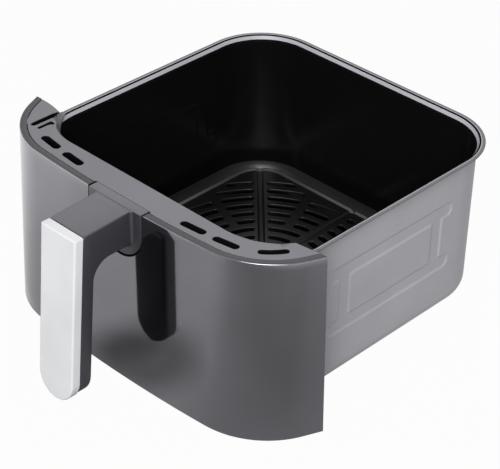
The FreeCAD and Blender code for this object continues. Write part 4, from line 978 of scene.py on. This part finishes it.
def make_trim():
    """The deck's faces and edges, its edge wall painted black as shade where it lies in a gap, a box painted
    black as shade under every vent, the collar and the bosses.
    """
    loop, radius, dark = deck_outline()
    edges = [soft_edge(loop, radius)] + [soft_edge(vent, VENT_SOFT) for vent in VENTS]
    plan, faces = fill([edge[0, :, :2] for edge in edges], [HORN_LINE])
    parts = [(np.column_stack([plan, DECK_TOP - horn_dip(plan)]), faces, trim_grey)]
    for edge in edges:
        edge[..., 2] += DECK_TOP - horn_dip(edge[..., :2].reshape(-1, 2)).reshape(edge.shape[:2])
        parts.append((*sheet(edge, wrap=True), trim_grey))
    points, wall = sheet(np.stack([edges[0][-1], level_ring(loop, DECK_UNDER)]), wrap=True)
    # painted shade: the deck's edge wall is painted black where it lies in a gap, and trim grey elsewhere
    parts += [(points, wall[dark], black_and_painted_shade), (points, wall[~dark], trim_grey)]
    wider = [move_in(vent, VENT_WALL) for vent in VENTS]
    plan, faces = fill([loop] + wider)
    parts.append((level_ring(plan, DECK_UNDER), faces, trim_grey))
    for vent, wide, edge in zip(VENTS, wider, edges[1:]):
        # painted shade: each vent's wall and floor are painted black
        parts += vent_box(vent, edge[-1], VENT_FLOOR, black_and_painted_shade)
        parts += vent_box(wide, level_ring(wide, DECK_UNDER), VENT_UNDER, carrier_grey)
    parts += make_collar()
    # painted shade: a black shelf and wall close the latch off
    parts += [(*block(*LATCH_SHELF), black_and_painted_shade), (*block(*LATCH_SCREEN), black_and_painted_shade)]
    for x in (-TRIM_BOSS[0], TRIM_BOSS[0]):
        low, high = [(x, TRIM_BOSS[1], height) for height in BOSS_SPAN]
        parts.append((*post(low, high, BOSS_RADIUS, 2), trim_grey))
    return make_piece("top_trim_moulding", "drawer", "top_trim", parts, sharp=30.0)


trim = make_trim()

# %% [markdown]
# ## Handle
# Root, arm and grip are one moulding. Its root is a U-shaped block in the panel's notch, a hollow
# flare leads from there to the arm, the arm turns down at an elbow, and the grip ends in a half
# circle. It could be built from solids and fillets. As a surface it is one row of sections: every
# section is a rectangle with round corners between an outer and an inner point, and only the
# points, the width and the two radii change from one to the next.

# %% Handle sections
ARM_HALF, ARM_LOW, HEAD_HALF, HEAD_LOW = 16.3, 104.3, 24.5, 93.2
HEAD_BACK, FACE = -129.8, -(apex_at(DECK_TOP) + 0.6)
GRIP_FRONT, GRIP_LEAN, FACE_DEPTH, GRIP_BACK, ARM_TOP = -183.9, 0.0755, 6.6, 17.8, 128.3
ELBOW_MID, ELBOW, ELBOW_LAST, ELBOW_BELOW = np.array([-154.93, 90.3]), 14.0, 175.7, 36.9
GRIP_STRAIGHT, GRIP_ROUND, ROOT_MID, ROOT_RADIUS = 109.7, 15.1, 112.0, 20.0
FLARE_SIDE, FLARE_BELOW = 2.0, 6.0
ARM_EDGE, ARM_BELLY, GRIP_EDGE, GRIP_BELLY = 0.9, 2.2, 0.3, 3.0


def grip_point(depth, drop):
    """A point of the grip in the (y, z) plane: so far behind its front, so far below its top."""
    return np.array([GRIP_FRONT + depth - GRIP_LEAN * drop, ARM_TOP - drop])


def hollow(radius, step):
    """How far a hollow quarter circle stands out from a wall at a step from the face."""
    return radius - math.sqrt(radius ** 2 - max(radius - step, 0.0) ** 2)


def arm_height(y):
    """The arm's top: level over the root, then falling a little to the outer corner."""
    corner = grip_point(FACE_DEPTH, 0.0)
    return DECK_TOP + (corner[1] - DECK_TOP) * (FACE - y) / (FACE - corner[0])


def root_stations():
    """Sections of the U-shaped block, from its back to its front with a soft edge, and of the
    hollow flare: a quarter circle that is tangent to the block's face and to the arm."""
    rows = []
    for y, inset in ((HEAD_BACK, 0.0), (FACE + 0.5, 0.0), (FACE + 0.15, 0.15), (FACE, 0.5)):
        rows.append(((y, DECK_TOP), (y, HEAD_LOW + inset), HEAD_HALF - inset, 0.35, ROOT_RADIUS - inset))
    for step in (0.0, 0.1, 0.3, 0.6, 1.0, 1.5, 2.0, 2.8, 3.8, 4.8, 6.0):
        y = FACE - step
        side, below = hollow(FLARE_SIDE, step), hollow(FLARE_BELOW, step)
        belly = ARM_BELLY + 1.6 * below
        rows.append(((y, arm_height(y)), (y, ARM_LOW - below), ARM_HALF + side, 0.6, belly))
    return rows


def arm_stations():
    """Sections of the arm and of the elbow, which fan out about the elbow's centre: the inner
    point runs round a circle while the outer one runs over the corner."""
    rows = [((y, arm_height(y)), (y, ARM_LOW), ARM_HALF, ARM_EDGE, ARM_BELLY)
            for y in np.linspace(FACE - 7.5, ELBOW_MID[0], 4)]
    corner, below = grip_point(FACE_DEPTH, 0.0), grip_point(FACE_DEPTH, ELBOW_BELOW)
    above = np.array([ELBOW_MID[0], arm_height(ELBOW_MID[0])])
    for turn in np.linspace(90, ELBOW_LAST, 21)[1:]:
        inner = ELBOW_MID + ELBOW * np.array([math.cos(math.radians(turn)), math.sin(math.radians(turn))])
        share = (turn - 90) / 45 if turn <= 135 else (turn - 135) / (ELBOW_LAST - 135)
        outer = above + (corner - above) * share if turn <= 135 else corner + (below - corner) * share
        edge = ARM_EDGE if turn < 133 else GRIP_EDGE
        belly = ARM_BELLY + (GRIP_BELLY - ARM_BELLY) * (turn - 90) / (ELBOW_LAST - 90)
        rows.append((outer, inner, ARM_HALF, edge, belly))
    return rows


def grip_stations():
    """Sections of the grip. At the lower end its half width follows an ellipse: the root of one less
    the square of the share of the round end that is passed."""
    rows = []
    round_end = GRIP_STRAIGHT + GRIP_ROUND * np.sin(np.radians(np.linspace(8, 90, 12)))
    for drop in np.concatenate([np.linspace(40, GRIP_STRAIGHT, 6), round_end]):
        past = max(drop - GRIP_STRAIGHT, 0.0) / GRIP_ROUND
        half = ARM_HALF * math.sqrt(max(1.0 - past ** 2, 0.0))
        soft = min(1.0, half / 6.0)
        outer, inner = grip_point(FACE_DEPTH, drop), grip_point(GRIP_BACK, drop)
        rows.append((outer, inner, half, GRIP_EDGE * soft, GRIP_BELLY * soft))
    return rows


stations = root_stations() + arm_stations() + grip_stations()
print("handle sections", len(stations))

# %% [markdown]
# Every section is a ring with the same number of points, so the rings join into one closed skin from
# the root to the end of the grip. A bevelled curve keeps one outline all the way, and this handle
# goes from a U to a rectangle to a half circle.

# %% Handle mesh
def section(outer, inner, half, soft_out, soft_in):
    """A rectangle with round corners across the line from the outer to the inner point: first its
    right side, then the inner side, the left side and the outer side."""
    outer, inner = np.array(outer), np.array(inner)
    length = np.linalg.norm(inner - outer)
    soft_in = min(soft_in, half, length * 0.6)
    near = arc((half - soft_out, soft_out), soft_out, -90, 0, 4)
    far = arc((half - soft_in, length - soft_in), soft_in, 0, 90, 10)
    right = np.concatenate([near, far])
    flat = np.concatenate([right, right[::-1] * [-1, 1]])
    place = outer + flat[:, 1:] * (inner - outer) / length
    return np.column_stack([flat[:, 0], place])


handle_rows = np.stack([section(*station) for station in stations])
handle = make_piece("handle_moulding", "drawer", "handle_body", [
    (*sheet(handle_rows, wrap=True), grip_dark),
    (*fan(handle_rows[0], (0.0, HEAD_BACK, ROOT_MID)), grip_dark)], sharp=40.0)

# %% [markdown]
# The silver cap on the grip's front is a flat moulding with a soft edge all round. A box with a bevel
# would need its lower end rounded by hand. Here the outline is drawn from the front, as width and
# drop, and pushed back onto the leaning grip.

# %% Silver face
FACE_LONG, FACE_CORNER, FACE_SOFT = 126.0, 1.0, 1.2


def face_points(plan, depth):
    """Points of an outline (x, drop), set back by a depth, on the leaning grip."""
    depth = np.broadcast_to(depth, len(plan))
    return np.column_stack([plan[:, 0], GRIP_FRONT + depth - GRIP_LEAN * plan[:, 1], ARM_TOP - plan[:, 1]])


outline = np.concatenate([
    arc((0.0, FACE_LONG - ARM_HALF), ARM_HALF, 0, 180, 32), [[-ARM_HALF, 80.0], [-ARM_HALF, 40.0]],
    arc((-ARM_HALF + FACE_CORNER, FACE_CORNER), FACE_CORNER, 180, 270, 4),
    arc((ARM_HALF - FACE_CORNER, FACE_CORNER), FACE_CORNER, 270, 360, 4),
    [[ARM_HALF, 40.0], [ARM_HALF, 80.0]]])
rings = soft_edge(outline, FACE_SOFT, 5)
flat, faces = fill([rings[0, :, :2]])
face_parts = [(face_points(flat, 0.0), faces, silver_paint)]
skin = [face_points(ring[:, :2], -ring[:, 2]) for ring in rings] + [face_points(outline, FACE_DEPTH)]
face_parts.append((*sheet(np.stack(skin), wrap=True), silver_paint))
flat, faces = fill([outline])
face_parts.append((face_points(flat, FACE_DEPTH), faces, silver_paint))
face = make_piece("handle_face_cap", "drawer", "handle_face", face_parts, sharp=40.0)

# %% [markdown]
# ## Light, floor and camera
# A product of this kind is photographed in a light tent: even light from all round, a few large soft sources,
# and a white sweep under it. The floor is a sheet that keeps the shadow. What the camera sees of it is lifted
# to white. The glossy panel shows the sweep as a mirror would, so the sheet's brightness for glossy rays is
# painted: a curve of its own X, bright on the left and dim on the right, and a painted shadow under the grip.
# That is easier to fit than a row of cards.

# %% Brightness of the sweep
FLOOR_HALF, FLOOR_LEVEL = 4.0, CAD_BOX[0][2] - 0.0005
# The sweep's brightness for mirrors is painted: a curve along X, an even value behind, and a painted shadow
# under the grip.
SWEEP_ENDS = ((0.1, 0.84), (0.9, 0.26))
SWEEP_BETWEEN = ((0.25, 0.61), (0.38, 0.40), (0.50, 0.34), (0.62, 0.165), (0.74, 0.125))
SWEEP_SHIFT, SWEEP_FRONT, SWEEP_BACK, SWEEP_TURN = 0.5, 3.2, 1.6, (-0.14, 0.08)
GRIP_FOOT, GRIP_SPAN, GRIP_PAINTED_SHADOW = (0.0, -0.168, FLOOR_LEVEL), (0.02, 0.06), 0.3


def weigh(nodes, links, terms, start=0.0):
    """The sum of a start and some sockets, each times its own weight."""
    total = None
    for socket, weight in terms:
        node = nodes.new("ShaderNodeMath")
        node.operation = "MULTIPLY_ADD"
        node.inputs[1].default_value = weight
        node.inputs[2].default_value = start
        links.new(socket, node.inputs[0])
        if total is not None:
            links.new(total, node.inputs[2])
        total = node.outputs[0]
    return total


def blend(nodes, links, share, begin, end):
    """A socket's value that goes over to a number as a share goes from 0 to 1."""
    node = nodes.new("ShaderNodeMix")
    node.inputs["B"].default_value = end
    links.new(share, node.inputs["Factor"])
    links.new(begin, node.inputs["A"])
    return node.outputs["Result"]


def sweep_brightness(nodes, links, camera_ray):
    """How bright the sheet is for a ray: in front a painted curve of X, with a painted shadow near the grip's
    foot, an even value behind the object, and 1, which is white, for the camera."""
    place = nodes.new("ShaderNodeTexCoord").outputs["Object"]
    axes = nodes.new("ShaderNodeSeparateXYZ")
    links.new(place, axes.inputs[0])
    fall = nodes.new("ShaderNodeFloatCurve")
    line = fall.mapping.curves[0].points
    line[0].location, line[1].location = SWEEP_ENDS
    for at, height in SWEEP_BETWEEN:
        line.new(at, height)
    fall.mapping.update()
    links.new(weigh(nodes, links, ((axes.outputs["X"], 1.0),), SWEEP_SHIFT), fall.inputs["Value"])
    away = nodes.new("ShaderNodeVectorMath")
    away.operation = "DISTANCE"
    away.inputs[1].default_value = GRIP_FOOT
    links.new(place, away.inputs[0])
    # painted shadow of the grip on the sheet, seen in the panel's reflection
    shade = range_node(nodes, links, away.outputs["Value"], GRIP_SPAN, (GRIP_PAINTED_SHADOW, 1.0), smooth=True)
    front = nodes.new("ShaderNodeMath")
    front.operation = "MULTIPLY"
    links.new(weigh(nodes, links, ((fall.outputs["Value"], SWEEP_FRONT),)), front.inputs[0])
    links.new(shade, front.inputs[1])
    behind = range_node(nodes, links, axes.outputs["Y"], SWEEP_TURN, (0.0, 1.0), smooth=True)
    return blend(nodes, links, camera_ray, blend(nodes, links, behind, front.outputs[0], SWEEP_BACK), 1.0)


print("sweep at", round(FLOOR_LEVEL, 4), "m")

# %% [markdown]
# The sheet itself is one large square. A white diffuse floor alone would turn grey in the shade of
# the tent, or would need more light on the object. So its material mixes grey paper, which takes
# the shadow, with a glow, and the share of the glow depends on the kind of ray.

# %% Floor
PAPER, PAPER_CAMERA, PAPER_MIRROR = 0.25, 0.97, 0.45


def by_ray(nodes, links, rays, camera, mirror, start=0.0):
    """A number for the kind of ray: a start, and more for the camera or for mirrors and glass."""
    terms = ((rays["Is Camera Ray"], camera), (rays["Is Glossy Ray"], mirror),
             (rays["Is Transmission Ray"], mirror))
    return weigh(nodes, links, terms, start)


def sweep_material():
    """Paper and glow, mixed by the kind of ray."""
    material = bpy.data.materials.new("white_sweep")
    material.use_nodes = True
    nodes, links = material.node_tree.nodes, material.node_tree.links
    nodes.remove(nodes["Principled BSDF"])
    paper = nodes.new("ShaderNodeBsdfDiffuse")
    paper.inputs["Color"].default_value = (PAPER, PAPER, PAPER, 1.0)
    glow = nodes.new("ShaderNodeEmission")
    rays = nodes.new("ShaderNodeLightPath").outputs
    links.new(sweep_brightness(nodes, links, rays["Is Camera Ray"]), glow.inputs["Strength"])
    mix = nodes.new("ShaderNodeMixShader")
    links.new(by_ray(nodes, links, rays, PAPER_CAMERA, PAPER_MIRROR), mix.inputs[0])
    links.new(paper.outputs[0], mix.inputs[1])
    links.new(glow.outputs[0], mix.inputs[2])
    links.new(mix.outputs[0], nodes["Material Output"].inputs["Surface"])
    return material


floor_plan = np.array([[-1.0, -1.0], [1.0, -1.0], [1.0, 1.0], [-1.0, 1.0]]) * FLOOR_HALF
floor_mesh = bpy.data.meshes.new("floor")
floor_mesh.from_pydata(level_ring(floor_plan, FLOOR_LEVEL), [], [(0, 1, 2, 3)])
floor_mesh.materials.append(sweep_material())
floor = bpy.data.objects.new("floor", floor_mesh)
bpy.context.scene.collection.objects.link(floor)
print("floor", 2 * FLOOR_HALF, "m wide")

# %% [markdown]
# The even light of the tent is the world. A picture of a studio is often used for this, but a plain
# white world is enough here. It is weak as a light, so that the hollows stay dark, and bright for
# the camera and for mirrors.

# %% World
TENT, TENT_CAMERA, TENT_MIRROR = 0.12, 0.88, 0.48

world = bpy.data.worlds.new("tent")
bpy.context.scene.world = world
world.use_nodes = True
nodes, links = world.node_tree.nodes, world.node_tree.links
rays = nodes.new("ShaderNodeLightPath").outputs
nodes["Background"].inputs["Color"].default_value = (1.0, 1.0, 1.0, 1.0)
links.new(by_ray(nodes, links, rays, TENT_CAMERA, TENT_MIRROR, TENT), nodes["Background"].inputs["Strength"])
print("world", TENT, "as a light")

# %% [markdown]
# Four square lamps stand in for the soft boxes: the key from the front right, a weak one on the front
# panel, one behind on the left for the rim, and a small one behind on the right for the edges. A
# Track To constraint could aim them. The three axes of a lamp that looks at a point are quickly
# worked out, and leave nothing live in the scene.

# %% Lamps
AIM = (0.0, 0.0, 0.1)
LAMPS = {  # name: place and width in metres, power in watts
    "key_light": ((0.80, -1.10, 1.00), 1.0, 33.0),
    "front_light": ((-1.10, -1.30, 0.55), 0.8, 2.5),
    "back_light": ((-0.90, 0.95, 1.00), 1.2, 8.5),
    "edge_light": ((1.06, 0.96, 0.82), 0.6, 2.0),
}


def add_lamp(name, place, width, power):
    """A square area lamp that faces the aim: its own Z points away from it, and its X
    lies across that and the Y axis of the scene."""
    lamp = bpy.data.lights.new(name, "AREA")
    lamp.shape = "SQUARE"
    lamp.size = width
    lamp.energy = power
    item = bpy.data.objects.new(name, lamp)
    bpy.context.scene.collection.objects.link(item)
    item.location = place
    away = np.array(place) - np.array(AIM)
    away = away / np.linalg.norm(away)
    side = np.cross([0.0, 1.0, 0.001], away)
    side = side / np.linalg.norm(side)
    turn = np.stack([side, np.cross(away, side), away], axis=1)
    item.rotation_euler = Matrix(turn.tolist()).to_euler()


for name, settings in LAMPS.items():
    add_lamp(name, *settings)
print("lamps", len(LAMPS))

# %% [markdown]
# The camera was fitted to the photograph: eight points of the rim, the panel and the handle give
# the direction, the distance and the focal length. The picture is 500 by 469 pixels, a long lens
# seen from the right of the handle and from above, with one degree of roll. Moving the camera by
# eye would do for a sketch, but a fit lets the render and the photograph be laid over each other.

# %% Camera
FOCAL_PIXELS, PICTURE_WIDTH = 1798.0, 500.0
AZIMUTH, ELEVATION, ROLL = math.radians(44.02), math.radians(33.98), math.radians(-1.01)
toward = np.array([math.sin(AZIMUTH) * math.cos(ELEVATION), -math.cos(AZIMUTH) * math.cos(ELEVATION),
                   math.sin(ELEVATION)])
right = np.array([math.cos(AZIMUTH), math.sin(AZIMUTH), 0.0])
up = np.cross(toward, right)
axis_x = math.cos(ROLL) * right - math.sin(ROLL) * up
axis_y = math.sin(ROLL) * right + math.cos(ROLL) * up
lens = bpy.data.cameras.new("camera")
lens.sensor_fit = "HORIZONTAL"
lens.sensor_width = 36.0
lens.lens = FOCAL_PIXELS * lens.sensor_width / PICTURE_WIDTH
camera = bpy.data.objects.new("camera", lens)
bpy.context.scene.collection.objects.link(camera)
camera.location = (0.7249, -0.7631, 0.7492)
camera.rotation_euler = Matrix(np.stack([axis_x, axis_y, toward], axis=1).tolist()).to_euler()
bpy.context.scene.camera = camera
bpy.context.scene.view_settings.view_transform = "Standard"
print("lens", round(lens.lens, 2), "mm")

# %% [markdown]
# The last cell prints the box of the CAD model and closes the script.

# %% Sizes and finish
print("CAD box", [[round(value, 4) for value in corner] for corner in CAD_BOX])
